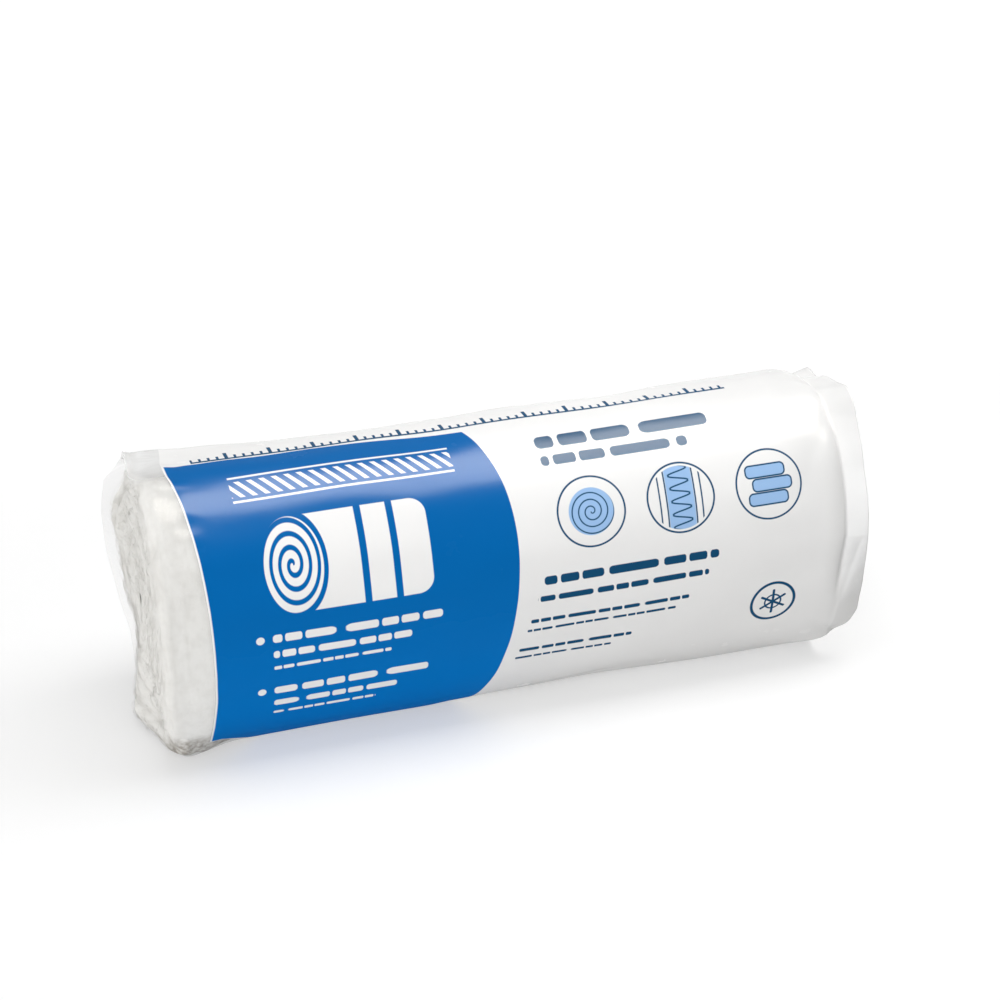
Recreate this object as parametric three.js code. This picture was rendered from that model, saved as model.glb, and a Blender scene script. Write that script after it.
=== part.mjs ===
// Roll of glass-fibre insulation, squeezed oval and held in a film sleeve that is open at both ends.
// Units are millimetres and +Z is up. X runs along the roll, and the printed front faces -Y.

import * as THREE from 'three';
import { ParametricGeometry } from 'three/addons/geometries/ParametricGeometry.js';
import { mergeGeometries, mergeVertices } from 'three/addons/utils/BufferGeometryUtils.js';

// The batt, which is rolled up across its length
const BATT_WIDTH = 406;
const BATT_LENGTH = 1219;

// The roll's section: a full oval that stands on a pressed flat
const ROLL_DEPTH = 134;
const ROLL_HEIGHT = 168;
const SECTION_FULLNESS = 2.15;
const RESTING_SQUASH = 6;
const EYE_DEPTH = 8;
const EYE_HEIGHT = 18;

// The roll's ends, where every turn stands out between its creases
const RIM_RADIUS = 9;
const CREASE_DEPTH = 5;
const LEFT_SLUMP = 3;

// The film sleeve
const FILM_WALL = 1;
const FILM_CLEARANCE = 0.5;
const LEFT_TAIL = 9;
const LEFT_TAIL_BELOW = 1;
const RIGHT_TAIL = 14;
const MOUTH_DRAW = 5;

// Facets
const FACET_COUNT_ROUND = 56;
const FACET_COUNT_ACROSS_TURN = 4;
const FACET_COUNT_ALONG_TAIL = 4;

const WELD_DISTANCE = 1e-4;

const halfLength = BATT_WIDTH / 2;
const restingDepth = ROLL_HEIGHT / 2 - RESTING_SQUASH;
const axisHeight = restingDepth + FILM_CLEARANCE + FILM_WALL;
const leftMouth = -(halfLength + LEFT_TAIL);
const rightMouth = halfLength + RIGHT_TAIL;
const middleOfSleeve = (leftMouth + rightMouth) / 2;

/** A point of the section, in the YZ plane about the roll's axis, grown outwards by `grow`. */
function sectionPoint(turnShare, grow) {
  const angle = 2 * Math.PI * turnShare;
  const power = 2 / SECTION_FULLNESS;
  const y = Math.sign(Math.cos(angle)) * Math.abs(Math.cos(angle)) ** power;
  const z = Math.sign(Math.sin(angle)) * Math.abs(Math.sin(angle)) ** power;
  return new THREE.Vector2(
    y * (ROLL_DEPTH / 2 + grow),
    Math.max(z * (ROLL_HEIGHT / 2 + grow), -(restingDepth + grow)),
  );
}

/** A point of the flattened eye that the first turn closes round. */
function eyePoint(turnShare) {
  const angle = 2 * Math.PI * turnShare;
  return new THREE.Vector2((Math.cos(angle) * EYE_DEPTH) / 2, (Math.sin(angle) * EYE_HEIGHT) / 2);
}

/** Number of whole turns that the batt's length makes between the eye and the outside. */
function countTurns() {
  const outerGirth = (Math.PI * (ROLL_DEPTH + ROLL_HEIGHT)) / 2;
  const eyeGirth = (Math.PI * (EYE_DEPTH + EYE_HEIGHT)) / 2;
  return Math.max(2, Math.round(BATT_LENGTH / ((outerGirth + eyeGirth) / 2)));
}

const turns = countTurns();

/** Share of the way from the eye to the outside at which the crease lies after `wound` turns. */
function creaseShare(wound) {
  return THREE.MathUtils.clamp(wound / turns, 0, 1);
}

/** How far the rounded rim falls back at a distance `inset` inside the roll's outer surface. */
function rimFall(inset) {
  if (inset >= RIM_RADIUS) {
    return 0;
  }
  return RIM_RADIUS - Math.sqrt(RIM_RADIUS ** 2 - (RIM_RADIUS - inset) ** 2);
}

/** How far the roll's end falls back at a point. `arch` is 1 on a turn's crown and 0 in a crease. */
function endFall(point, outside, arch) {
  const inset = outside.distanceTo(point);
  const crease = CREASE_DEPTH * Math.min(1, inset / RIM_RADIUS);
  return rimFall(inset) + crease * (1 - arch);
}

/** How far the lower turns have slid out of the left end at a height `z` above the axis. */
function slump(side, z) {
  if (side > 0) {
    return 0;
  }
  return LEFT_SLUMP * THREE.MathUtils.smoothstep(-z, 0, ROLL_HEIGHT / 2);
}

/** A patch of surface from a function that sets a point for u and v between 0 and 1. */
function patch(place, stepsU, stepsV) {
  const geometry = new ParametricGeometry(place, stepsU, stepsV);
  geometry.deleteAttribute('normal');
  geometry.deleteAttribute('uv');
  return geometry;
}

/** One closed body from patches whose borders meet. Quads that shrink to a line are left out. */
function weld(patches) {
  const welded = mergeVertices(mergeGeometries(patches), WELD_DISTANCE);
  const corners = welded.getIndex().array;
  const kept = [];
  for (let i = 0; i < corners.length; i += 3) {
    const [a, b, c] = corners.slice(i, i + 3);
    if (a !== b && b !== c && c !== a) {
      kept.push(a, b, c);
    }
  }
  welded.setIndex(kept);
  welded.computeVertexNormals();
  return welded;
}

/** One end of the roll: the edge of the batt, wound from the eye out to the rim. */
function spiralEnd(side) {
  const windings = turns + 1;
  const place = (u, v, target) => {
    const wound = u * windings;
    const inner = creaseShare(wound - 1);
    const outer = creaseShare(wound);
    const outside = sectionPoint(wound, 0);
    const point = eyePoint(wound).lerp(outside, THREE.MathUtils.lerp(inner, outer, v));
    const fullness = (outer - inner) * turns;
    const fall = endFall(point, outside, fullness * 4 * v * (1 - v));
    target.set(side * (halfLength - fall + slump(side, point.y)), point.x, point.y);
  };
  return patch(place, FACET_COUNT_ROUND * windings, FACET_COUNT_ACROSS_TURN);
}

/** The outer side of the roll, between its two rounded rims. */
function rollSide() {
  const tangent = halfLength - RIM_RADIUS;
  const place = (u, v, target) => {
    const point = sectionPoint(u, 0);
    const left = -(tangent + slump(-1, point.y));
    target.set(THREE.MathUtils.lerp(left, tangent, v), point.x, point.y);
  };
  return patch(place, FACET_COUNT_ROUND, 1);
}

/** The wall of the flattened eye, right through the roll. */
function eyeWall() {
  const place = (u, v, target) => {
    const point = eyePoint(u);
    const right = halfLength - endFall(point, sectionPoint(u, 0), 0);
    const left = -(right + slump(-1, point.y));
    target.set(THREE.MathUtils.lerp(left, right, v), point.x, point.y);
  };
  return patch(place, FACET_COUNT_ROUND, 1);
}

/** Turns a patch inside out, for a side that faces the other way. */
function flipped(geometry) {
  const corners = geometry.getIndex().array;
  for (let i = 0; i < corners.length; i += 3) {
    [corners[i + 1], corners[i + 2]] = [corners[i + 2], corners[i + 1]];
  }
  return geometry;
}

/** The coiled batt: two spiral ends, the side and the eye, welded to one solid. */
function coiledBatt() {
  return weld([flipped(spiralEnd(1)), spiralEnd(-1), rollSide(), flipped(eyeWall())]);
}

/** Where the film's mouth is on one side. The left one is cut short under the roll. */
function mouthAt(side, turnShare) {
  if (side > 0) {
    return rightMouth;
  }
  const risen = THREE.MathUtils.smoothstep(sectionPoint(turnShare, 0).y, -restingDepth, 0);
  return -(halfLength + THREE.MathUtils.lerp(LEFT_TAIL_BELOW, LEFT_TAIL, risen));
}

/** A point of the film, at a share of the way from the roll's rim out to the mouth on one side. */
function filmPoint(side, share, turnShare, grow) {
  const start = side > 0 ? halfLength - RIM_RADIUS : -(halfLength - RIM_RADIUS + LEFT_SLUMP);
  const end = side > 0 ? rightMouth : leftMouth;
  const x = THREE.MathUtils.lerp(start, mouthAt(side, turnShare), share);
  const drawn = MOUTH_DRAW * ((x - start) / (end - start)) ** 2;
  const section = sectionPoint(turnShare, grow - drawn);
  return new THREE.Vector3(x, section.x, section.y);
}

/** One face of the sleeve's film, `grow` outside the roll: a left tail, the length and a right tail. */
function filmFace(grow) {
  const steps = 2 * FACET_COUNT_ALONG_TAIL + 1;
  const place = (u, v, target) => {
    const step = Math.round(v * steps);
    const side = step > FACET_COUNT_ALONG_TAIL ? 1 : -1;
    const outward = side > 0 ? step - FACET_COUNT_ALONG_TAIL - 1 : FACET_COUNT_ALONG_TAIL - step;
    target.copy(filmPoint(side, outward / FACET_COUNT_ALONG_TAIL, u, grow));
  };
  return patch(place, FACET_COUNT_ROUND, steps);
}

/** The cut edge of the film round one mouth. */
function filmEdge(side) {
  const place = (u, v, target) => {
    target.copy(filmPoint(side, 1, u, FILM_CLEARANCE + v * FILM_WALL));
  };
  return patch(place, FACET_COUNT_ROUND, 1);
}

/** The film sleeve: an outer and an inner face joined by the cut edges at both mouths. */
function filmSleeve() {
  return weld([
    filmFace(FILM_CLEARANCE + FILM_WALL),
    flipped(filmFace(FILM_CLEARANCE)),
    flipped(filmEdge(1)),
    filmEdge(-1),
  ]);
}

/** A named mesh with its axis at the height at which the sleeve stands on the floor. */
function piece(name, geometry, material) {
  const mesh = new THREE.Mesh(geometry, material);
  mesh.name = name;
  mesh.position.set(-middleOfSleeve, 0, axisHeight);
  return mesh;
}

const glassFibre = new THREE.MeshStandardMaterial({ color: 0xe9e7de, roughness: 0.95, metalness: 0 });
const printedFilm = new THREE.MeshStandardMaterial({ color: 0x0a63b0, roughness: 0.25, metalness: 0 });

const insulationPack = new THREE.Group();
insulationPack.name = 'insulation_pack';
insulationPack.add(piece('insulation_roll', coiledBatt(), glassFibre));
insulationPack.add(piece('film_sleeve', filmSleeve(), printedFilm));

export default insulationPack;
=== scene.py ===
"""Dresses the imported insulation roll: a coiled glass-fibre batt in a printed film sleeve.

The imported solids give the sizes. Two classes build the pieces, `CoiledBatt` and `FilmSleeve`,
and `Studio` sets the floor, the lamps and the camera. Lengths are in metres.
"""

from __future__ import annotations

import logging
import math
from dataclasses import dataclass, field
from enum import Enum
from typing import Any, Union

import bpy
import numpy as np
from mathutils import Matrix, Vector

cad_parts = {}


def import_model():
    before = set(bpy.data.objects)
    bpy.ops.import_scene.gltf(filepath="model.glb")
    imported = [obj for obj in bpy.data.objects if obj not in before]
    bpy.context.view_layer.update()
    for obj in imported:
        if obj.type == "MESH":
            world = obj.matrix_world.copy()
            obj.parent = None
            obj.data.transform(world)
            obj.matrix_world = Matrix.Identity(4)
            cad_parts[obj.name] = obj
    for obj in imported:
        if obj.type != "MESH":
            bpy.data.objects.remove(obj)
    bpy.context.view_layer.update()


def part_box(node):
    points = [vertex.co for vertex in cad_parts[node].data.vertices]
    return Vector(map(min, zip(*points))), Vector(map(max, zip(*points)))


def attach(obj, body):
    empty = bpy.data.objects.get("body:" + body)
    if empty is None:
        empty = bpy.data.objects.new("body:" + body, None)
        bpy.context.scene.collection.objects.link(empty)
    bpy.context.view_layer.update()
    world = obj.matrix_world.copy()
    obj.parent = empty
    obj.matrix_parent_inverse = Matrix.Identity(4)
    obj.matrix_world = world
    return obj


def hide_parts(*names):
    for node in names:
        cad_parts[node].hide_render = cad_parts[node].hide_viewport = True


LOG = logging.getLogger("insulation_roll")

MM = 0.001
PER_METRE = 1000.0
TAU = 2 * math.pi


class End(Enum):
    """One of the roll's two ends, with the way it faces along the roll."""

    LEFT = -1.0
    RIGHT = 1.0


class Ring(Enum):
    """One of the two rings that a lengthwise wall of the coil runs through."""

    OUTSIDE = "outside"
    EYE = "eye"


class Pass(Enum):
    """One of the two inks that a sign is printed in."""

    LINES = "lines"
    FILL = "fill"


# ---------------------------------------------------------------------------------------------
# Node trees as Python expressions
# ---------------------------------------------------------------------------------------------


class Wire:
    """One output of a node, which takes part in Python arithmetic."""

    def __init__(self, graph: "Graph", socket: bpy.types.NodeSocket) -> None:
        """Keeps the graph that new nodes go into, and the socket."""
        self.graph = graph
        self.socket = socket

    def beside(self, output: Union[str, int]) -> "Wire":
        """Another output of the same node, by name or number."""
        return Wire(self.graph, self.socket.node.outputs[output])

    def __add__(self, other: "Value") -> "Wire":
        """self + other."""
        return self.graph.math("ADD", self, other)

    def __radd__(self, other: "Value") -> "Wire":
        """other + self."""
        return self.graph.math("ADD", other, self)

    def __sub__(self, other: "Value") -> "Wire":
        """self - other."""
        return self.graph.math("SUBTRACT", self, other)

    def __rsub__(self, other: "Value") -> "Wire":
        """other - self."""
        return self.graph.math("SUBTRACT", other, self)

    def __mul__(self, other: "Value") -> "Wire":
        """self * other."""
        return self.graph.math("MULTIPLY", self, other)

    def __rmul__(self, other: "Value") -> "Wire":
        """other * self."""
        return self.graph.math("MULTIPLY", other, self)

    def __truediv__(self, other: "Value") -> "Wire":
        """self / other."""
        return self.graph.math("DIVIDE", self, other)

    def __rtruediv__(self, other: "Value") -> "Wire":
        """other / self."""
        return self.graph.math("DIVIDE", other, self)

    def __pow__(self, other: "Value") -> "Wire":
        """self ** other."""
        return self.graph.math("POWER", self, other)

    def __neg__(self) -> "Wire":
        """-self."""
        return self.graph.math("MULTIPLY", self, -1.0)

    def __abs__(self) -> "Wire":
        """abs(self)."""
        return self.graph.math("ABSOLUTE", self)


Value = Union[Wire, float, int]
Settings = dict[str, Any]
Values = dict[Union[str, int], Any]


class Graph:
    """A node tree, shader or geometry, that is written as expressions."""

    def __init__(self, tree: bpy.types.NodeTree) -> None:
        """Takes the tree that every node is added to."""
        self.tree = tree

    @classmethod
    def of(cls, owner: Union[bpy.types.Material, bpy.types.World]) -> "Graph":
        """Starts the tree of a material or a world afresh.

        Args:
            owner: the material or the world.

        Returns:
            Its tree, with nothing in it.
        """
        owner.use_nodes = True
        owner.node_tree.nodes.clear()
        return cls(owner.node_tree)

    def feed(self, socket: bpy.types.NodeSocket, value: Any) -> None:
        """Links a wire to a socket, or sets the socket's own value.

        Args:
            socket: the input.
            value: a wire, a plain value, or several wires for a socket that joins them.
        """
        if isinstance(value, Wire):
            self.tree.links.new(value.socket, socket)
        elif socket.is_multi_input:
            for wire in value:
                self.tree.links.new(wire.socket, socket)
        else:
            socket.default_value = value

    def add(
        self, kind: str, settings: Settings | None = None, values: Values | None = None
    ) -> bpy.types.Node:
        """Adds a node.

        Args:
            kind: the node's type name.
            settings: properties of the node, set first.
            values: what each socket is fed, by name or number.

        Returns:
            The node.
        """
        made = self.tree.nodes.new(kind)
        for name, setting in (settings or {}).items():
            setattr(made, name, setting)
        for key, value in (values or {}).items():
            self.feed(made.inputs[key], value)
        return made

    def node(
        self,
        kind: str,
        settings: Settings | None = None,
        values: Values | None = None,
        output: Union[str, int] = 0,
    ) -> Wire:
        """Adds a node and takes one of its outputs."""
        return Wire(self, self.add(kind, settings, values).outputs[output])

    def math(self, operation: str, *values: Value, clamp: bool = False) -> Wire:
        """One Math node on up to three values."""
        settings = {"operation": operation, "use_clamp": clamp}
        return self.node("ShaderNodeMath", settings, dict(enumerate(values)))

    def least(self, a: Value, b: Value) -> Wire:
        """The smaller of two values."""
        return self.math("MINIMUM", a, b)

    def most(self, a: Value, b: Value) -> Wire:
        """The larger of two values."""
        return self.math("MAXIMUM", a, b)

    def unit(self, value: Value) -> Wire:
        """A value held between 0 and 1."""
        return self.math("ADD", value, 0.0, clamp=True)

    def above(self, value: Wire, level: float, gain: float) -> Wire:
        """How far a value lies above a level, times a gain and held between 0 and 1."""
        return self.unit((value - level) * gain)

    def length(self, x: Wire, y: Wire) -> Wire:
        """The length of a flat vector."""
        return self.math("SQRT", x * x + y * y)

    def ease(self, low: Value, high: Value, value: Value) -> Wire:
        """0 below `low`, 1 above `high` and a smooth step between them.

        Args:
            low: where the step starts.
            high: where it ends.
            value: what is measured.

        Returns:
            The step's share.
        """
        values = {"Value": value, "From Min": low, "From Max": high}
        return self.node("ShaderNodeMapRange", {"interpolation_type": "SMOOTHSTEP"}, values)

    def split(self, vector: Wire) -> tuple[Wire, Wire, Wire]:
        """The three parts of a vector.

        Args:
            vector: the vector.

        Returns:
            Its x, y and z.
        """
        first = self.node("ShaderNodeSeparateXYZ", None, {0: vector})
        return first, first.beside(1), first.beside(2)

    def vector(self, x: Value, y: Value, z: Value) -> Wire:
        """A vector from its three parts."""
        return self.node("ShaderNodeCombineXYZ", None, {0: x, 1: y, 2: z})

    def blend(self, share: Value, below: Any, above: Any) -> Wire:
        """Mixes two colours: `below` at 0 and `above` at 1.

        Args:
            share: how much of `above` shows.
            below: a colour.
            above: a colour.

        Returns:
            The mixed colour.
        """
        # Sockets 6 and 7 and output 2 are the node's colours; its other ones are of other kinds
        values = {"Factor": share, 6: below, 7: above}
        return self.node("ShaderNodeMix", {"data_type": "RGBA"}, values, output=2)

    def noise(self, vector: Wire, scale: Value, detail: float = 2.0, rough: float = 0.5) -> Wire:
        """A noise between 0 and 1 over a vector."""
        values = {"Vector": vector, "Scale": scale, "Detail": detail, "Roughness": rough}
        return self.node("ShaderNodeTexNoise", None, values)


def rgba(red: float, green: float, blue: float, alpha: float = 1.0) -> tuple[float, ...]:
    """A colour for a socket, from linear red, green and blue."""
    return (red, green, blue, alpha)


# ---------------------------------------------------------------------------------------------
# The shared section
# ---------------------------------------------------------------------------------------------


@dataclass(frozen=True)
class Section:
    """The oval section of the sleeve's outside, standing on a pressed flat.

    A place round it is a turn share: 0 at the back, 0.25 on top, 0.5 in front, 0.75 below.
    `samples` is how many points two laps of it are measured with.
    """

    half_depth: float
    half_height: float
    squash: float
    fullness: float = 2.15
    samples: int = 8001

    def points(self, turn: np.ndarray, grow: np.ndarray | float = 0.0) -> np.ndarray:
        """Points about the roll's axis.

        Args:
            turn: turn shares.
            grow: how far outside the section each point lies.

        Returns:
            An array of (y, z).
        """
        angle = TAU * turn
        power = 2 / self.fullness
        y = np.sign(np.cos(angle)) * np.abs(np.cos(angle)) ** power
        z = np.sign(np.sin(angle)) * np.abs(np.sin(angle)) ** power
        low = -(self.half_height - self.squash + grow)
        tall = np.maximum(z * (self.half_height + grow), low)
        return np.stack([y * (self.half_depth + grow), tall], axis=-1)

    def outward(self, turn: np.ndarray) -> np.ndarray:
        """The outward unit normals at turn shares.

        Args:
            turn: turn shares.

        Returns:
            An array of (y, z).
        """
        step = 1e-4
        along = self.points(turn + step) - self.points(turn - step)
        across = np.stack([along[:, 1], -along[:, 0]], axis=-1)
        never_zero = 1e-9
        return across / np.maximum(np.linalg.norm(across, axis=-1, keepdims=True), never_zero)

    def place_of(self, y: np.ndarray, z: np.ndarray) -> tuple[np.ndarray, np.ndarray]:
        """Finds where points about the axis lie on the section.

        Args:
            y: places across the roll.
            z: heights over its axis.

        Returns:
            Their turn shares, and their reach, which is 0 at the axis and 1 at the section.
        """
        across = np.abs(y / self.half_depth) ** (self.fullness / 2)
        upright = np.abs(z / self.half_height) ** (self.fullness / 2)
        angle = np.arctan2(np.sign(z) * upright, np.sign(y) * across)
        reach = (across**2 + upright**2) ** (1 / self.fullness)
        return (angle / TAU) % 1.0, np.minimum(reach, 1.0)

    def heights_round(self, turn: np.ndarray) -> np.ndarray:
        """Distances along the surface from the front, upwards positive, at turn shares.

        Args:
            turn: turn shares.

        Returns:
            One distance for each.
        """
        fine = np.linspace(-0.5, 1.5, self.samples)
        steps = np.linalg.norm(np.diff(self.points(fine), axis=0), axis=1)
        run = np.concatenate([[0.0], np.cumsum(steps)])
        return np.interp(0.5, fine, run) - np.interp(turn, fine, run)

    def girth(self) -> float:
        """The distance all the way round."""
        ends = self.heights_round(np.array([0.0, 1.0]))
        return float(ends[0] - ends[1])


@dataclass(frozen=True)
class Layout:
    """Where the roll and its sleeve lie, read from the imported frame."""

    left_tail: float = 9 * MM
    right_tail: float = 14 * MM
    film_gap: float = 1.5 * MM
    squash: float = 6 * MM
    left_mouth: float = field(init=False)
    right_mouth: float = field(init=False)
    section: Section = field(init=False)

    def __post_init__(self) -> None:
        """Fills the fields that come from the sleeve's box."""
        low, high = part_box("film_sleeve")
        depth, height = high.y - low.y, high.z - low.z
        outside = Section(depth / 2, (height + self.squash) / 2, self.squash)
        object.__setattr__(self, "left_mouth", low.x)
        object.__setattr__(self, "right_mouth", high.x)
        object.__setattr__(self, "section", outside)

    @property
    def left_end(self) -> float:
        """The batt's left end."""
        return self.left_mouth + self.left_tail

    @property
    def right_end(self) -> float:
        """The batt's right end."""
        return self.right_mouth - self.right_tail

    @property
    def middle(self) -> float:
        """Half way between the batt's ends."""
        return (self.left_end + self.right_end) / 2

    @property
    def half_length(self) -> float:
        """Half of the batt's width, which is the roll's length."""
        return (self.right_end - self.left_end) / 2

    @property
    def axis_height(self) -> float:
        """The height of the roll's axis over the floor."""
        return self.section.half_height - self.section.squash


# ---------------------------------------------------------------------------------------------
# Relief of soft surfaces
# ---------------------------------------------------------------------------------------------


@dataclass(frozen=True)
class Ripple:
    """Smooth seeded relief over the unrolled sleeve, which closes on itself round the girth.

    `spread` is the range of wavelengths, as shares of the one that is named, and `crest` is how
    high the highest crests stand before they are brought down to 1.
    """

    seed: int
    wavelength: float
    girth: float
    stretch_along: float = 1.0
    waves: int = 24
    spread: tuple[float, float] = (0.7, 1.5)
    crest: float = 1.6

    def __call__(self, along: np.ndarray, round_it: np.ndarray) -> np.ndarray:
        """The relief, about -1 to 1.

        Args:
            along: distances along the roll.
            round_it: distances round the girth.

        Returns:
            One value for each point.
        """
        rng = np.random.default_rng(self.seed)
        total = np.zeros(np.broadcast(along, round_it).shape)
        for _ in range(self.waves):
            angle, phase = rng.uniform(0, TAU, 2)
            pace = TAU / (self.wavelength * rng.uniform(*self.spread))
            laps = round(pace * math.sin(angle) * self.girth / TAU)
            lengthwise = pace * math.cos(angle) / self.stretch_along
            total += np.sin(lengthwise * along + laps * TAU * round_it / self.girth + phase)
        return total / math.sqrt(self.waves / 2) / self.crest


def ramp(low: float, high: float, value: np.ndarray) -> np.ndarray:
    """0 below `low`, 1 above `high` and a smooth step between them. `low` may be the larger."""
    share = np.clip((value - low) / (high - low), 0, 1)
    return share * share * (3 - 2 * share)


@dataclass(frozen=True)
class Fold:
    """A fold along a straight line on the flat film, all in millimetres.

    The lift runs evenly from the start to the end and dies out past both. It is negative for a
    valley. `lean` makes the flank on the left of the line wider and the other one narrower.
    `rounding` is how much of the width the round crest takes up.
    """

    start: tuple[float, float]
    end: tuple[float, float]
    width: float
    lift: float
    end_lift: float = 0.0
    lean: float = 0.0
    rounding: float = 0.2

    def __call__(self, x: np.ndarray, s: np.ndarray) -> np.ndarray:
        """How far the fold stands out at flat places, in millimetres.

        Args:
            x: distances along the roll.
            s: distances round the girth.

        Returns:
            One lift for each place.
        """
        run_x, run_s = self.end[0] - self.start[0], self.end[1] - self.start[1]
        run = math.hypot(run_x, run_s)
        from_x, from_s = x - self.start[0], s - self.start[1]
        along = (from_x * run_x + from_s * run_s) / run
        aside = (from_s * run_x - from_x * run_s) / run
        width = self.width * np.where(aside > 0, 1 + self.lean, 1 - self.lean)
        crest = np.exp(self.rounding - np.sqrt((aside / width) ** 2 + self.rounding**2))
        past = np.maximum(np.maximum(-along, along - run), 0)
        lift = self.lift + (self.end_lift - self.lift) * np.clip(along / run, 0, 1)
        return lift * crest * np.exp(-((past / self.width) ** 2))


@dataclass(frozen=True)
class Swell:
    """A soft swelling of the whole side, batt and film together, in millimetres on the flat film."""

    x: float
    s: float
    reach_x: float
    reach_s: float
    lift: float

    def __call__(self, x: np.ndarray, s: np.ndarray) -> np.ndarray:
        """How far the side swells at flat places, in millimetres."""
        away = ((x - self.x) / self.reach_x) ** 2 + ((s - self.s) / self.reach_s) ** 2
        return self.lift * np.exp(-away)


@dataclass(frozen=True)
class MouthLine:
    """A value that changes round a mouth, set at places round the girth, all in millimetres.

    It runs straight from place to place, and `softness` is how far its corners are smoothed.
    """

    places: tuple[tuple[float, float], ...]
    softness: float = 4.0

    def __call__(self, s: np.ndarray, girth: float) -> np.ndarray:
        """The value at distances round the girth.

        Args:
            s: distances round the girth, from the front.
            girth: the distance all the way round, at which the line closes.

        Returns:
            One value for each distance.
        """
        fine = np.arange(0.0, girth, 1.0)
        at, value = zip(*self.places)
        rough = np.interp(fine, at, value, period=girth)
        reach = 3 * self.softness
        window = np.arange(-reach, reach + 1)
        weight = np.exp(-((window / self.softness) ** 2))
        size = len(window)
        wrapped = np.concatenate([rough[-size:], rough, rough[:size]])
        smooth = np.convolve(wrapped, weight / weight.sum(), mode="same")[size:-size]
        return np.interp(s, fine, smooth, period=girth)


TOP_HOLLOW = Swell(30.0, 150.0, 110.0, 35.0, -1.5)
LOW_LEFT_BULGE = Swell(-190.0, -84.0, 20.0, 23.0, 7.2)
LOW_HOLLOW = Swell(70.0, -82.0, 40.0, 20.0, -2.2)
RIGHT_BULGE = Swell(150.0, 60.0, 60.0, 50.0, 0.8)
SWELLS = (TOP_HOLLOW, LOW_LEFT_BULGE, LOW_HOLLOW, RIGHT_BULGE)


def swelling(x: np.ndarray, s: np.ndarray) -> np.ndarray:
    """All the swellings together, in metres, at flat places in metres."""
    return sum(swell(x / MM, s / MM) for swell in SWELLS) * MM


# ---------------------------------------------------------------------------------------------
# Finishes
# ---------------------------------------------------------------------------------------------


def bump(graph: Graph, strength: float, distance: float, height: Wire) -> Wire:
    """A normal that a height bends."""
    values = {"Strength": strength, "Distance": distance, "Height": height}
    return graph.node("ShaderNodeBump", None, values)


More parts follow.
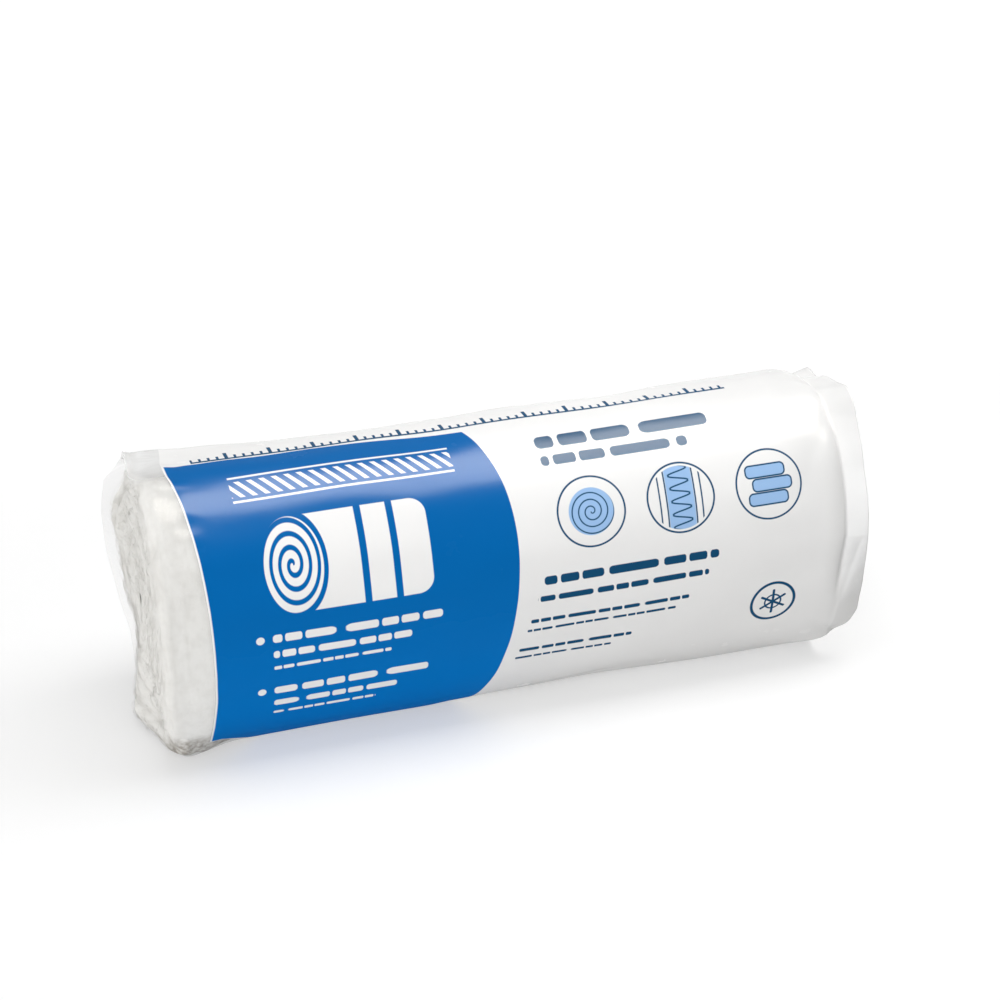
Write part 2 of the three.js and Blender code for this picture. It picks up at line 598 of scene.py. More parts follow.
@dataclass(frozen=True)
class GlassWool:
    """Matt white glass fibre, mottled, layered along its turns on the wound ends, and with painted
    shade.
    """

    pale: tuple[float, ...] = rgba(0.91, 0.905, 0.885)
    dull_and_shade: tuple[float, ...] = rgba(0.64, 0.625, 0.59)
    # painted_shade: the grey painted as shade into the creases and low down near the floor
    painted_shade: tuple[float, ...] = rgba(0.27, 0.245, 0.21)
    roughness: float = 0.95
    gloss: float = 0.02
    bump_strength: float = 0.6
    bump_depth: float = 1.4 * MM
    # Where the painted shade low down reaches: its top heights, the front span it grows across, and
    # how much lower it stays behind
    shade_top: tuple[float, float] = (14.0 * MM, 25.0 * MM)
    shade_front: tuple[float, float] = (-0.026, -0.048)
    shade_drop_mm: float = 15.0

    def material(self) -> bpy.types.Material:
        """Builds the material.

        Returns:
            The material.
        """
        material = bpy.data.materials.new("glass_wool")
        graph = Graph.of(material)
        place = graph.node("ShaderNodeTexCoord", output="Object")
        coil = graph.node("ShaderNodeAttribute", {"attribute_name": "coil"}, output="Vector")
        crease = graph.node("ShaderNodeAttribute", {"attribute_name": "crease"}, output="Fac")
        layered = graph.node("ShaderNodeAttribute", {"attribute_name": "layered"}, output="Fac")
        tufts = graph.noise(place, 190.0, 4.0, 0.65)
        fuzz = graph.noise(place, 1100.0, 3.0, 0.7)
        layers = graph.noise(coil, 1.0, 4.0, 0.7)
        x, y, z = graph.split(place)
        streaks = graph.noise(graph.vector(x * 170.0, y * 60.0, z * 26.0), 1.0, 3.0, 0.65)
        mottle_and_shade = self.mottle_and_shade(graph, place, layered, tufts, streaks, layers)
        mottle_and_shade = graph.unit(mottle_and_shade + graph.above(fuzz, 0.5, 2.0) * 0.2)
        colour = graph.blend(mottle_and_shade, self.pale, self.dull_and_shade)
        # Painted shade: the creases between the turns are painted a little darker.
        colour = graph.blend(graph.unit(crease) * 0.04, colour, self.painted_shade)
        # Painted shade low down near the floor, in patches and most at the front.
        colour = graph.blend(self.low_painted_shade(graph, place, tufts), colour, self.painted_shade)
        relief = tufts * 0.4 + streaks * 0.22 + layers * layered * 0.2 + fuzz * 0.28
        values = {
            "Base Color": colour,
            "Roughness": self.roughness,
            "Specular IOR Level": self.gloss,
            "Diffuse Roughness": 1.0,
            "Normal": bump(graph, self.bump_strength, self.bump_depth, relief),
        }
        surface = graph.node("ShaderNodeBsdfPrincipled", None, values)
        graph.add("ShaderNodeOutputMaterial", None, {"Surface": surface})
        return material

    @staticmethod
    def mottle_and_shade(
        graph: Graph, place: Wire, layered: Wire, tufts: Wire, streaks: Wire, layers: Wire
    ) -> Wire:
        """How far the wool turns to its darker grey, from its mottle and its painted shade, before its
        finest fuzz.

        Args:
            graph: the material's tree.
            place: the place on the object.
            layered: 1 on the wound ends and 0 on the side.
            tufts: the noise of single tufts.
            streaks: the noise of upright streaks.
            layers: the noise that follows the turns.

        Returns:
            A share, which may pass 1.
        """
        x, y, z = graph.split(place)
        patches = graph.noise(place, 38.0, 3.0, 0.55)
        slanted = graph.vector(x * 60.0, (y * 0.5 + z * 0.86) * 150.0, (y * 0.86 - z * 0.5) * 38.0)
        smudges = graph.noise(slanted, 1.0, 3.0, 0.6)
        side = 1.0 - layered * 0.65
        mottle_and_shade = graph.above(patches, 0.45, 3.0) * 0.24 + graph.above(tufts, 0.45, 3.0) * side * 0.3
        mottle_and_shade = mottle_and_shade + graph.above(streaks, 0.46, 3.2) * side * 0.26
        mottle_and_shade = mottle_and_shade + graph.above(layers, 0.45, 2.6) * layered * 0.1
        # Painted shade: the wound ends are painted darker throughout, with real smudges over it.
        mottle_and_shade = mottle_and_shade + (graph.above(smudges, 0.48, 4.0) * 0.2 + 0.36) * layered
        # Painted shade: the side is painted darker on its upper part and along its left rim.
        upper_side_shade = graph.ease(0.06, 0.15, z)
        left_rim = graph.ease(-0.191, -0.2, x)
        return mottle_and_shade + graph.most(upper_side_shade, left_rim) * (1.0 - layered) * 0.2

    def low_painted_shade(self, graph: Graph, place: Wire, tufts: Wire) -> Wire:
        """Painted shade on the batt low down near the floor: in patches, and most at the front.

        Args:
            graph: the tree to build in.
            place: the place on the object.
            tufts: the noise of single tufts.

        Returns:
            The painted shade's share, 0 to 1.
        """
        _, y, z = graph.split(place)
        fine_patches = graph.noise(place, 290.0, 3.0, 0.65)
        behind = 1.0 - graph.ease(*self.shade_front, y)
        height = z + behind * self.shade_drop_mm * MM
        uneven = (tufts - 0.5) * self.shade_drop_mm * MM
        low = 1.0 - graph.ease(*self.shade_top, height + uneven)
        speckled = graph.above(tufts * 0.35 + fine_patches * 0.65, 0.42, 7.0)
        return low * (speckled * 0.5 + 0.42)


class PackPrint:
    """The sleeve's generic print, drawn in millimetres on the flat film.

    `x` runs along the roll from its middle and `s` up round the girth from its front. The white
    ink ends at `edge_place`, which moves left by `edge_bow` times the square of the height above
    `edge_level`, and by `edge_slant` times the depth past 30 below the front. The blue field lies
    between `field_top` and `field_foot`, and its right edge bulges out to `bulge_place`.
    """

    edge_blur: float = 0.35
    edge_place: float = 174.3
    edge_level: float = -10.0
    edge_bow: float = 0.000627
    edge_slant: float = 0.055
    field_top: float = 122.5
    field_slant: float = 0.055
    field_foot: float = 108.0
    bulge_level: float = 42.0
    bulge_place: float = 2.2
    bulge_above: float = 0.0027
    bulge_below: float = 0.00168
    margin: float = 1.2

    def __init__(self, graph: Graph, x: Wire, s: Wire) -> None:
        """Takes the two flat coordinates.

        Args:
            graph: the material's tree.
            x: along the roll.
            s: up round the girth.
        """
        self.graph = graph
        self.x = x
        self.s = s

    def moved(self, x: float, s: float) -> "PackPrint":
        """The same print with its zero moved to a place."""
        return PackPrint(self.graph, self.x - x, self.s - s)

    def turned(self, degrees: float) -> "PackPrint":
        """The same print turned about its zero."""
        cosine, sine = math.cos(math.radians(degrees)), math.sin(math.radians(degrees))
        return PackPrint(self.graph, self.x * cosine + self.s * sine, self.s * cosine - self.x * sine)

    def inside(self, distance: Wire) -> Wire:
        """The ink where a signed distance is below 0, with a narrow soft edge."""
        return self.graph.unit(0.5 - distance / self.edge_blur)

    def box(self, left: float, right: float, low: float, high: float, corner: float = 1.0) -> Wire:
        """The signed distance to a bar with rounded corners.

        Args:
            left: its left side.
            right: its right side.
            low: its foot.
            high: its top.
            corner: the radius of its corners.

        Returns:
            The distance, negative inside.
        """
        graph = self.graph
        dx = abs(self.x - (left + right) / 2) - ((right - left) / 2 - corner)
        ds = abs(self.s - (low + high) / 2) - ((high - low) / 2 - corner)
        return graph.length(graph.most(dx, 0.0), graph.most(ds, 0.0)) - corner

    def slab(self, left: float, right: float, low: float, high: float, corner: float = 1.0) -> Wire:
        """A filled bar with rounded corners."""
        return self.inside(self.box(left, right, low, high, corner))

    def oval(self, half_wide: float, half_tall: float) -> Wire:
        """The signed distance to an oval about the zero, true near its edge."""
        reach = self.graph.length(self.x / half_wide, self.s / half_tall)
        return (reach - 1.0) * min(half_wide, half_tall)

    def line(self, distance: Wire, width: float) -> Wire:
        """A line of a width along the edge of a shape."""
        return self.inside(abs(distance) - width / 2)

    def disc(self, radius: float) -> Wire:
        """The signed distance to a circle about the zero."""
        return self.oval(radius, radius)

    def ring(self, radius: float, width: float) -> Wire:
        """A ring of a width about the zero."""
        return self.line(self.disc(radius), width)

    def wave(self, pitch: float, swing: float, width: float) -> Wire:
        """A line along the roll that swings up and down about the zero.

        Args:
            pitch: the length of one swing up and down.
            swing: how far it goes to each side.
            width: the line's width.

        Returns:
            The ink.
        """
        graph = self.graph
        phase = self.x * (TAU / pitch)
        steep = graph.math("COSINE", phase) * (swing * TAU / pitch)
        slope = graph.math("SQRT", steep * steep + 1.0)
        return self.inside(abs(self.s - graph.math("SINE", phase) * swing) / slope - width / 2)

    def stripes(self, value: Wire, pitch: float, share: float) -> Wire:
        """Stripes that come back at every pitch and fill a share of it."""
        place = self.graph.math("FRACT", value / pitch)
        return self.inside((abs(place - 0.5) - share / 2) * pitch)

    def between(self, value: Wire, low: float, high: float) -> Wire:
        """The ink where a coordinate lies between two values."""
        return self.inside(self.graph.most(low - value, value - high))

    def winding(self, half_wide: float, half_tall: float, turns: float, share: float) -> Wire:
        """A coil of line from the zero out to an oval.

        Args:
            half_wide: half of the oval's width.
            half_tall: half of its height.
            turns: how often the line goes round.
            share: how much of each turn is ink.

        Returns:
            The ink.
        """
        graph = self.graph
        reach = graph.length(self.x / half_wide, self.s / half_tall)
        angle = graph.math("ARCTAN2", self.s / half_tall, self.x / half_wide) / TAU
        place = graph.math("FRACT", reach * turns - angle)
        within = self.inside((reach - 1.0) * half_wide)
        return self.inside((abs(place - 0.5) - share / 2) * (half_wide / turns)) * within

    def words(self, left: float, right: float, s: float, tall: float, pitch: float) -> Wire:
        """A row of bars of uneven length, as wide as a line of words would be.

        Args:
            left: where the row starts.
            right: where it ends.
            s: the height of its middle.
            tall: the bars' height.
            pitch: the mean distance from bar to bar.

        Returns:
            The ink.
        """
        graph = self.graph
        corner = tall * 0.38
        uneven = self.x + graph.math("SINE", self.x * (TAU / (pitch * 3.7)) + s) * (pitch * 0.34)
        place = graph.math("FRACT", uneven / pitch)
        gap = (abs(place - 0.5) - 0.43) * pitch
        along = graph.most(gap, graph.most(left - self.x, self.x - right)) + corner
        across = abs(self.s - s) - (tall / 2 - corner)
        reach = graph.length(graph.most(along, 0.0), graph.most(across, 0.0))
        return self.inside(reach - corner)

    def over(self, *inks: Wire) -> Wire:
        """Several inks laid over each other.

        Args:
            inks: the inks.

        Returns:
            The ink of them all.
        """
        total = inks[0]
        for ink in inks[1:]:
            total = self.graph.most(total, ink)
        return total

    def white_edge(self) -> Wire:
        """How far inside the white ink's left edge a place is. The edge drifts left on top.

        Returns:
            The distance, negative outside.
        """
        graph = self.graph
        up = graph.least(graph.most(self.s - self.edge_level, 0.0), 138.0)
        back = 1.0 - graph.ease(112.0, 152.0, self.s) * 0.4 - graph.ease(150.0, 240.0, self.s) * 0.22
        down = graph.least(graph.most(-self.s - 30.0, 0.0), 60.0)
        return self.x + self.edge_place + up * up * back * self.edge_bow + down * self.edge_slant

    def bare_corner(self) -> Wire:
        """How far outside the bare corner under the roll's left end a place is.

        Returns:
            The distance, negative inside the corner.
        """
        shallow = self.s + 68.8 + (self.x + 173.3) * 0.25
        steep = (self.s + 65.0 + (self.x + 174.5) * 0.9) / 1.35
        return self.graph.most(self.graph.most(shallow, steep), -112.0 - self.s)

    def blue_field(self) -> Wire:
        """The blue field, with its bulging right edge.

        Returns:
            The ink.
        """
        graph = self.graph
        above = graph.most(self.s - self.bulge_level, 0.0)
        below = graph.most(self.bulge_level - self.s, 0.0)
        right = self.bulge_place - above * above * self.bulge_above - below * below * self.bulge_below
        dipped = 2.6 - graph.ease(-136.0, -98.0, self.x) * 2.6
        dipped = dipped + 1.4 - graph.ease(-170.0, -146.0, self.x) * 1.4
        top = self.field_top - (self.x + 98.0) * self.field_slant - dipped
        left = self.margin - self.white_edge()
        bottom = graph.most(-self.field_foot - self.s, 0.4 - self.bare_corner())
        distance = graph.most(graph.most(self.x - right, self.s - top), graph.most(left, bottom))
        return self.inside(distance)


# Each row's numbers are those that PackPrint.words takes, in its order
Rows = tuple[tuple[float, ...], ...]


class PackMotifs:
    """The motifs of the generic print: a roll, its coil, stud bays, stacked batts and a crystal.

    A row of word-like bars is its left and right ends, its height on the film, how tall its bars
    are and their pitch.
    """

    list_rows: Rows = (
        (-141.0, -44.0, 7.0, 5.0, 17.0),
        (-141.0, -62.0, -3.0, 4.4, 14.0),
        (-141.0, -74.0, -11.6, 2.2, 9.0),
        (-141.0, -52.0, -28.0, 5.0, 19.0),
        (-141.0, -70.0, -38.0, 4.4, 14.0),
        (-141.0, -82.0, -46.6, 2.2, 9.0),
    )
    heading_rows: Rows = (
        (24.0, 128.0, 98.0, 9.0, 31.0),
        (24.0, 112.0, 85.0, 6.5, 24.0),
    )
    note_rows: Rows = (
        (16.0, 122.0, 16.0, 5.2, 20.0),
        (12.0, 116.0, 5.0, 3.6, 14.0),
        (8.0, 104.0, -9.0, 2.4, 11.0),
        (6.0, 96.0, -15.0, 1.6, 8.0),
        (2.0, 70.0, -29.0, 2.4, 11.0),
        (0.0, 58.0, -35.0, 1.6, 8.0),
    )
    coil_size: tuple[float, float] = (17.0, 27.0)
    body_length: float = 78.0
    disc_radius: float = 20.0
    disc_height: float = 52.0
    disc_rule: float = 1.1
    fine_rule: float = 0.9

    def __init__(self, ink: PackPrint) -> None:
        """Takes the flat film to draw on."""
        self.ink = ink

    def rolled_batt(self) -> Wire:
        """A large roll lying on its side: a solid body and a coiled end.

        Returns:
            The ink.
        """
        ink = self.ink.moved(-126.0, 48.0)
        graph = ink.graph
        face = ink.oval(*self.coil_size)
        half_tall = self.coil_size[1]
        body = ink.box(0.0, self.body_length, -half_tall, half_tall, 9.0)
        body_only = ink.inside(graph.most(body, 2.6 - face))
        coil = ink.winding(*self.coil_size, 3.5, 0.6)
        straps = ink.slab(38.0, 42.0, -40.0, 40.0) + ink.slab(56.0, 60.0, -40.0, 40.0)
        return graph.unit(graph.most(body_only, coil) - straps * body_only)

    def heat_band(self) -> Wire:
        """A band of slanting strokes between two rules.

        Returns:
            The ink.
        """
        ink = self.ink
        strokes = ink.stripes(ink.x + ink.s * 0.8, 7.0, 0.42) * ink.between(ink.s, 90.5, 101.5)
        rules = ink.over(ink.between(ink.s, 87.0, 88.4), ink.between(ink.s, 103.6, 105.0))
        return ink.over(strokes, rules) * ink.between(ink.x, -152.0, -26.0)

    def lists(self) -> Wire:
        """Rows of word-like bars under the roll, with a dot beside the first of each three.

        Returns:
            The ink.
        """
        ink = self.ink
        firsts = [row[2] for row in self.list_rows[::3]]
        dots = [ink.inside(ink.moved(-148.0, s).disc(2.4)) for s in firsts]
        return ink.over(self.rows(self.list_rows), *dots)

    def rows(self, rows: Rows) -> Wire:
        """Several rows of word-like bars."""
        return self.ink.over(*[self.ink.words(*row) for row in rows])

    def tape(self) -> Wire:
        """A strip of tape measure: a rule with short and long ticks, and no numbers.

        Returns:
            The ink.
        """
        ink = self.ink
        rule = ink.between(ink.s, 123.4, 125.2)
        short = ink.stripes(ink.x, 5.0, 0.3) * ink.between(ink.s, 125.0, 128.6)
        long = ink.stripes(ink.x + 10.0, 25.0, 0.085) * ink.between(ink.s, 125.0, 132.5)
        return ink.over(rule, short, long) * ink.between(ink.x, -168.0, 150.0)

    def coil_disc(self, ink_pass: Pass) -> Wire:
        """A disc with a roll seen end on.

        Args:
            ink_pass: which of the two inks.

        Returns:
            The ink.
        """
        ink = self.ink.moved(47.0, self.disc_height)
        radius = 13.5
        if ink_pass is Pass.FILL:
            return ink.inside(ink.disc(radius))
        return ink.over(self.disc_ring(ink), ink.winding(radius, radius, 3.5, 0.2))

    def bay_disc(self, ink_pass: Pass) -> Wire:
        """A disc with a batt between two studs.

        Args:
            ink_pass: which of the two inks.

        Returns:
            The ink.
        """
        ink = self.ink.moved(101.0, self.disc_height)
        inner = ink.inside(ink.disc(18.2))
        if ink_pass is Pass.FILL:
            return ink.slab(-8.0, 8.0, -20.0, 20.0) * inner
        sideways = PackPrint(ink.graph, ink.s, ink.x)
        curl = sideways.wave(7.5, 5.6, self.fine_rule)
        sides = ((-12.6, -8.6), (8.6, 12.6))
        studs = [ink.line(ink.box(*side, -24.0, 24.0), self.fine_rule) for side in sides]
        return ink.over(self.disc_ring(ink), ink.over(curl, *studs) * inner)

    def stack_disc(self, ink_pass: Pass) -> Wire:
        """A disc with three batts laid in a stack.

        Args:
            ink_pass: which of the two inks.

        Returns:
            The ink.
        """
        ink = self.ink.moved(155.0, self.disc_height)
        spans = ((-13.0, 11.0, -11.5, -4.5), (-10.0, 14.0, -3.5, 3.5), (-13.5, 10.5, 4.5, 11.5))
        batts = [ink.box(*span, 2.6) for span in spans]
        if ink_pass is Pass.FILL:
            return ink.over(*[ink.inside(batt) for batt in batts])
        edges = [ink.line(batt, self.fine_rule) for batt in batts]
        return ink.over(self.disc_ring(ink), *edges)

    def disc_ring(self, ink: PackPrint) -> Wire:
        """The ring round each of the three discs."""
        return ink.ring(self.disc_radius, self.disc_rule)

    def crystal(self) -> Wire:
        """A six-armed crystal in a ring.

        Returns:
            The ink.
        """
        ink = self.ink.moved(158.0, -24.0)
        arms = [ink.turned(turn).slab(-9.0, 9.0, -0.8, 0.8, 0.7) for turn in (30.0, 90.0, 150.0)]
        return ink.over(ink.ring(13.5, 1.8), ink.ring(5.0, 1.1), *arms)

    def light(self) -> Wire:
        """Everything in white on the blue field."""
        return self.ink.over(self.rolled_batt(), self.heat_band(), self.lists())

    def dark(self) -> Wire:
        """Everything in dark blue on the white film."""
        words = self.rows((*self.heading_rows, *self.note_rows))
        return self.ink.over(self.tape(), words, *self.discs(Pass.LINES), self.crystal())

    def tint(self) -> Wire:
        """Everything in pale blue on the white film."""
        return self.ink.over(*self.discs(Pass.FILL))

    def discs(self, ink_pass: Pass) -> tuple[Wire, ...]:
        """The three discs with their plain signs."""
        return self.coil_disc(ink_pass), self.bay_disc(ink_pass), self.stack_disc(ink_pass)


@dataclass(frozen=True)
class TopFold:
    """The fold on top of the clear end: where it is pinched or milky, and its crease lines."""

    pinched: Wire
    milky: Wire
    streaks: Wire


@dataclass(frozen=True)
class PrintedFilm:
    """Glossy polythene film: clear at the left end, printed white and blue along the rest."""

    white: tuple[float, ...] = rgba(0.866, 0.862, 0.853)
    cloudy: tuple[float, ...] = rgba(0.7, 0.7, 0.7)
    blue: tuple[float, ...] = rgba(0.0, 0.121, 0.393)
    # painted_light_blue: the lighter blue painted low down as light, against the shade there
    painted_light_blue: tuple[float, ...] = rgba(0.0, 0.176, 0.555)
    navy: tuple[float, ...] = rgba(0.006, 0.068, 0.16)
    pale_blue: tuple[float, ...] = rgba(0.33, 0.52, 0.80)
    clear: tuple[float, ...] = rgba(0.86, 0.86, 0.855)
    # painted_shade_white: the greyer white painted as shade near the right end and on top towards the
    # right
    painted_shade_white: tuple[float, ...] = rgba(0.755, 0.753, 0.746)
    # crease_shade: the grey painted as shade along the crease lines of the top fold
    crease_shade: tuple[float, ...] = rgba(0.8, 0.8, 0.79)
    # The tail's brighter white is painted light.
    tail: tuple[float, ...] = rgba(0.95, 0.95, 0.945)
    clear_alpha: float = 0.11
    clear_sheen: float = 0.006
    clear_smoothness: float = 0.15
    scuffing: float = 0.45
    tail_alpha: float = 0.9
    roughness: float = 0.26
    gloss: float = 0.045
    crinkle_strength: float = 0.12
    crinkle_depth: float = 1.0 * MM

    def material(self) -> bpy.types.Material:
        """Builds the material.

        Returns:
            The material.
        """
        material = bpy.data.materials.new("printed_film")
        graph = Graph.of(material)
        flat = graph.node("ShaderNodeUVMap", {"uv_map": "flat_film"})
        x_metres, s_metres, _ = graph.split(flat)
        ink = PackPrint(graph, x_metres * PER_METRE, s_metres * PER_METRE)
        place = graph.node("ShaderNodeTexCoord", output="Object")
        white = ink.inside(-graph.least(ink.white_edge(), ink.bare_corner()))
        blue = ink.blue_field()
        past_batt = graph.ease(202.0, 204.0, ink.x)
        fold = self.top_fold(ink)
        printed = self.printed_colour(ink, place, blue, past_batt)
        # Painted shade: the crease lines of the pinched fold on top are painted greyer.
        clear = graph.blend(fold.pinched * fold.streaks, self.clear, self.crease_shade)
        smear = graph.noise(place, 60.0, 3.0, 0.6)
        smooth = (1.0 - white) * self.clear_smoothness
        scuffed = blue * graph.ease(5.0, -45.0, ink.s) * self.scuffing
        crinkle = graph.noise(place, 70.0, 2.0, 0.45)
        values = {
            "Base Color": graph.blend(white, clear, printed),
            "Alpha": self.opacity(ink, fold, white, past_batt),
            "Metallic": (1.0 - white) * self.clear_sheen,
            "Roughness": self.roughness - smooth + scuffed - 0.04 + smear * 0.08,
            "Specular IOR Level": self.gloss,
            "Normal": bump(graph, self.crinkle_strength, self.crinkle_depth, crinkle),
        }
        surface = graph.node("ShaderNodeBsdfPrincipled", None, values)
        graph.add("ShaderNodeOutputMaterial", None, {"Surface": surface})
        return material

    def printed_colour(self, ink: PackPrint, place: Wire, blue: Wire, past_batt: Wire) -> Wire:
        """The colour of the printed part, with painted shade near the right end and painted light on
        the blue and the tail.

        Args:
            ink: the flat film to draw on.
            place: the place on the object.
            blue: where the blue field is.
            past_batt: where the film stands past the batt's right end.

        Returns:
            The colour.
        """
        graph, x, s = ink.graph, ink.x, ink.s
        motifs = PackMotifs(ink)
        cloud = graph.noise(place, 22.0, 3.0, 0.5)
        ground = graph.blend(graph.above(cloud, 0.4, 2.2) * 0.06, self.white, self.cloudy)
        # Painted shade: the white film is painted greyer near the batt's right end and on top towards
        # the right.
        right_end = graph.ease(155.0, 184.0, x) * graph.ease(20.0, 60.0, s) * 0.65
        top_right_shade = graph.ease(80.0, 150.0, x) * graph.ease(80.0, 122.0, s) * 0.5
        ground = graph.blend(graph.most(right_end, top_right_shade), ground, self.painted_shade_white)
        # Painted light: the blue is painted lighter towards the bottom, against the shade that falls
        # there.
        blue_with_painted_light = graph.blend(graph.ease(70.0, -75.0, s), self.blue, self.painted_light_blue)
        colour = graph.blend(blue, ground, blue_with_painted_light)
        colour = graph.blend(motifs.light() * blue, colour, self.white)
        colour = graph.blend(motifs.tint() * (1.0 - blue), colour, self.pale_blue)
        colour = graph.blend(motifs.dark() * (1.0 - blue), colour, self.navy)
        # Painted light: past the batt the tail is painted brighter from just below its front upwards,
        # and less on top.
        tail_painted_light = graph.ease(-44.0, -8.0, s) * (1.0 - graph.ease(40.0, 95.0, s) * 0.8)
        return graph.blend(past_batt * tail_painted_light, colour, self.tail)

    def opacity(self, ink: PackPrint, fold: TopFold, white: Wire, past_batt: Wire) -> Wire:
        """How far the film hides what is behind it.

        Args:
            ink: the flat film to draw on.
            fold: the milky fold on top of the clear end.
            white: where the film is printed.
            past_batt: where the film stands past the batt's right end.

        Returns:
            The share, 0 to 1.
        """
        graph, x, s = ink.graph, ink.x, ink.s
        printed = white * (1.0 - past_batt * (1.0 - self.tail_alpha))
        in_front = graph.ease(-90.0, -70.0, s) * (1.0 - graph.ease(112.0, 128.0, s))
        thin = self.clear_alpha * (1.0 - graph.ease(-196.0, -201.0, x) * in_front * 0.9)
        thin = graph.most(thin + fold.pinched * (fold.streaks * 0.3 + 0.1), fold.milky * 0.9)
        return printed * (1.0 - thin) + thin

    @staticmethod
    def top_fold(ink: PackPrint) -> TopFold:
        """Finds the fold that the clear film is pinched into on top.

        Args:
            ink: the flat film to draw on.

        Returns:
            The fold.
        """
        graph, x, s = ink.graph, ink.x, ink.s
        pinch = graph.ease(106.0, 129.0, s) * (1.0 - graph.ease(149.0, 156.0, s))
        stretched = graph.vector(x * 0.12, s * 0.45 + x * 0.06, 0.0)
        streaks = graph.above(graph.noise(stretched, 1.0, 4.0, 0.7), 0.42, 4.0)
        milky = pinch * graph.ease(-24.0, -11.0, ink.white_edge())
        return TopFold(pinch * graph.ease(-176.0, -184.0, x), milky, streaks)


# ---------------------------------------------------------------------------------------------
# The coiled batt
# ---------------------------------------------------------------------------------------------


@dataclass
class CoiledBatt:
    """The batt: one strip of glass wool, wound from a flat eye out to the film.

    The line of its left rim is in millimetres, and the other lengths are in metres. The fibres'
    swings are in radians, and their density is for each square metre.
    """

    layout: Layout
    turns: int = 5
    eye_half_depth: float = 4 * MM
    eye_half_height: float = 9 * MM
    rim: float = 9 * MM
    crease_depth: float = 1.7 * MM
    slump: float = 3 * MM
    fibre_radius: float = 0.075 * MM
    fibre_density: float = 50000.0
    fibre_lengths: tuple[float, float] = (6.0 * MM, 15.0 * MM)
    fibre_rises: tuple[float, float] = (0.6 * MM, 4.2 * MM)
    fibre_swings: tuple[float, float] = (-0.9, 0.9)
    steps_round: int = 240
    steps_across: int = 12
    side_rows: int = 56
    eye_rows: int = 2
    weld_distance: float = 0.02 * MM
    place_seed: int = 7
    swing_seed: int = 11
    length_seed: int = 12
    rise_seed: int = 13
    floor_gap: float = 0.4 * MM
    left_rim: MouthLine = MouthLine(
        (
            (-241.0, -202.5), (-229.0, -201.6), (-214.0, -199.2), (-201.0, -194.8),
            (-188.0, -193.0), (-174.0, -196.0), (-161.0, -198.5), (-150.0, -203.0),
            (-140.0, -208.5), (-128.0, -211.5), (-116.0, -208.0), (-100.0, -200.5),
            (-85.0, -195.0), (-66.0, -198.0), (-30.0, -203.0), (60.0, -203.0), (105.0, -200.5),
            (134.0, -199.5), (180.0, -200.5), (198.0, -207.0), (214.0, -208.2), (226.0, -206.0),
            (238.0, -203.5),
        ),
        3.0,
    )
    finish: GlassWool = GlassWool()

    def build(self, film: "FilmSleeve") -> bpy.types.Object:
        """Makes the coil with its tree, turns it into a plain mesh and settles it in the film.

        Args:
            film: the sleeve that holds it.

        Returns:
            The coil's object.
        """
        mesh = bpy.data.meshes.new("batt_coil")
        piece = bpy.data.objects.new("batt_coil", mesh)
        bpy.context.scene.collection.objects.link(piece)
        tree = self.tree()
        modifier = piece.modifiers.new("coil", "NODES")
        modifier.node_group = tree
        for name, value in self.inputs().items():
            item = tree.interface.items_tree[name]
            modifier[item.identifier] = value
        freeze(piece)
        self.settle(piece.data, film)
        return piece

    def inputs(self) -> dict[str, float]:
        """The sizes that the tree's inputs take.

        Returns:
            A value for each input's name.
        """
        section = self.layout.section
        gap = self.layout.film_gap
        return {
            "Half depth": section.half_depth - gap,
            "Half height": section.half_height - gap,
            "Resting depth": section.half_height - section.squash - gap,
            "Half length": self.layout.half_length,
            "Eye half depth": self.eye_half_depth,
            "Eye half height": self.eye_half_height,
            "Turns": float(self.turns),
            "Rim": self.rim,
            "Crease depth": self.crease_depth,
            "Slump": self.slump,
            "Fibre radius": self.fibre_radius,
            "Fibre density": self.fibre_density,
        }

    def tree(self) -> bpy.types.NodeTree:
        """The node tree: two wound ends, the side, the eye and the loose fibres of the ends.

        Returns:
            The tree, ready for a modifier.
        """
        tree = bpy.data.node_groups.new("coil_tree", "GeometryNodeTree")
        tree.interface.new_socket("Geometry", in_out="INPUT", socket_type="NodeSocketGeometry")
        for name in self.inputs():
            tree.interface.new_socket(name, in_out="INPUT", socket_type="NodeSocketFloat")
        tree.interface.new_socket("Geometry", in_out="OUTPUT", socket_type="NodeSocketGeometry")
        graph = Graph(tree)
        entry = graph.node("NodeGroupInput")
        sizes = {name: entry.beside(name) for name in self.inputs()}
        patches = (
            self.end(graph, sizes, End.RIGHT),
            self.end(graph, sizes, End.LEFT),
            self.wall(graph, sizes, Ring.OUTSIDE, self.side_rows),
            self.wall(graph, sizes, Ring.EYE, self.eye_rows),
        )
        values = {"Geometry": self.joined(graph, *patches), "Distance": self.weld_distance}
        merged = graph.node("GeometryNodeMergeByDistance", None, values)
        rough = self.roughened(graph, merged)
        fluffy = self.joined(graph, rough, self.loose_fibres(graph, sizes, rough))
        centre = (self.layout.middle, 0.0, self.layout.axis_height)
        placed = graph.node("GeometryNodeTransform", None, {"Geometry": fluffy, "Translation": centre})
        smooth = graph.node("GeometryNodeSetShadeSmooth", None, {"Geometry": placed})
        real = graph.node("GeometryNodeRealizeInstances", None, {"Geometry": smooth})
        values = {"Geometry": real, "Material": self.finish.material()}
        dressed = graph.node("GeometryNodeSetMaterial", None, values)
        graph.add("NodeGroupOutput", None, {"Geometry": dressed})
        return tree

    @staticmethod
    def joined(graph: Graph, *parts: Wire) -> Wire:
        """Several geometries as one."""
        return graph.node("GeometryNodeJoinGeometry", None, {"Geometry": parts})

    @staticmethod
    def signed_power(graph: Graph, value: Wire, power: float) -> Wire:
        """A power that keeps the sign."""
        return graph.math("SIGN", value) * (abs(value) ** power)

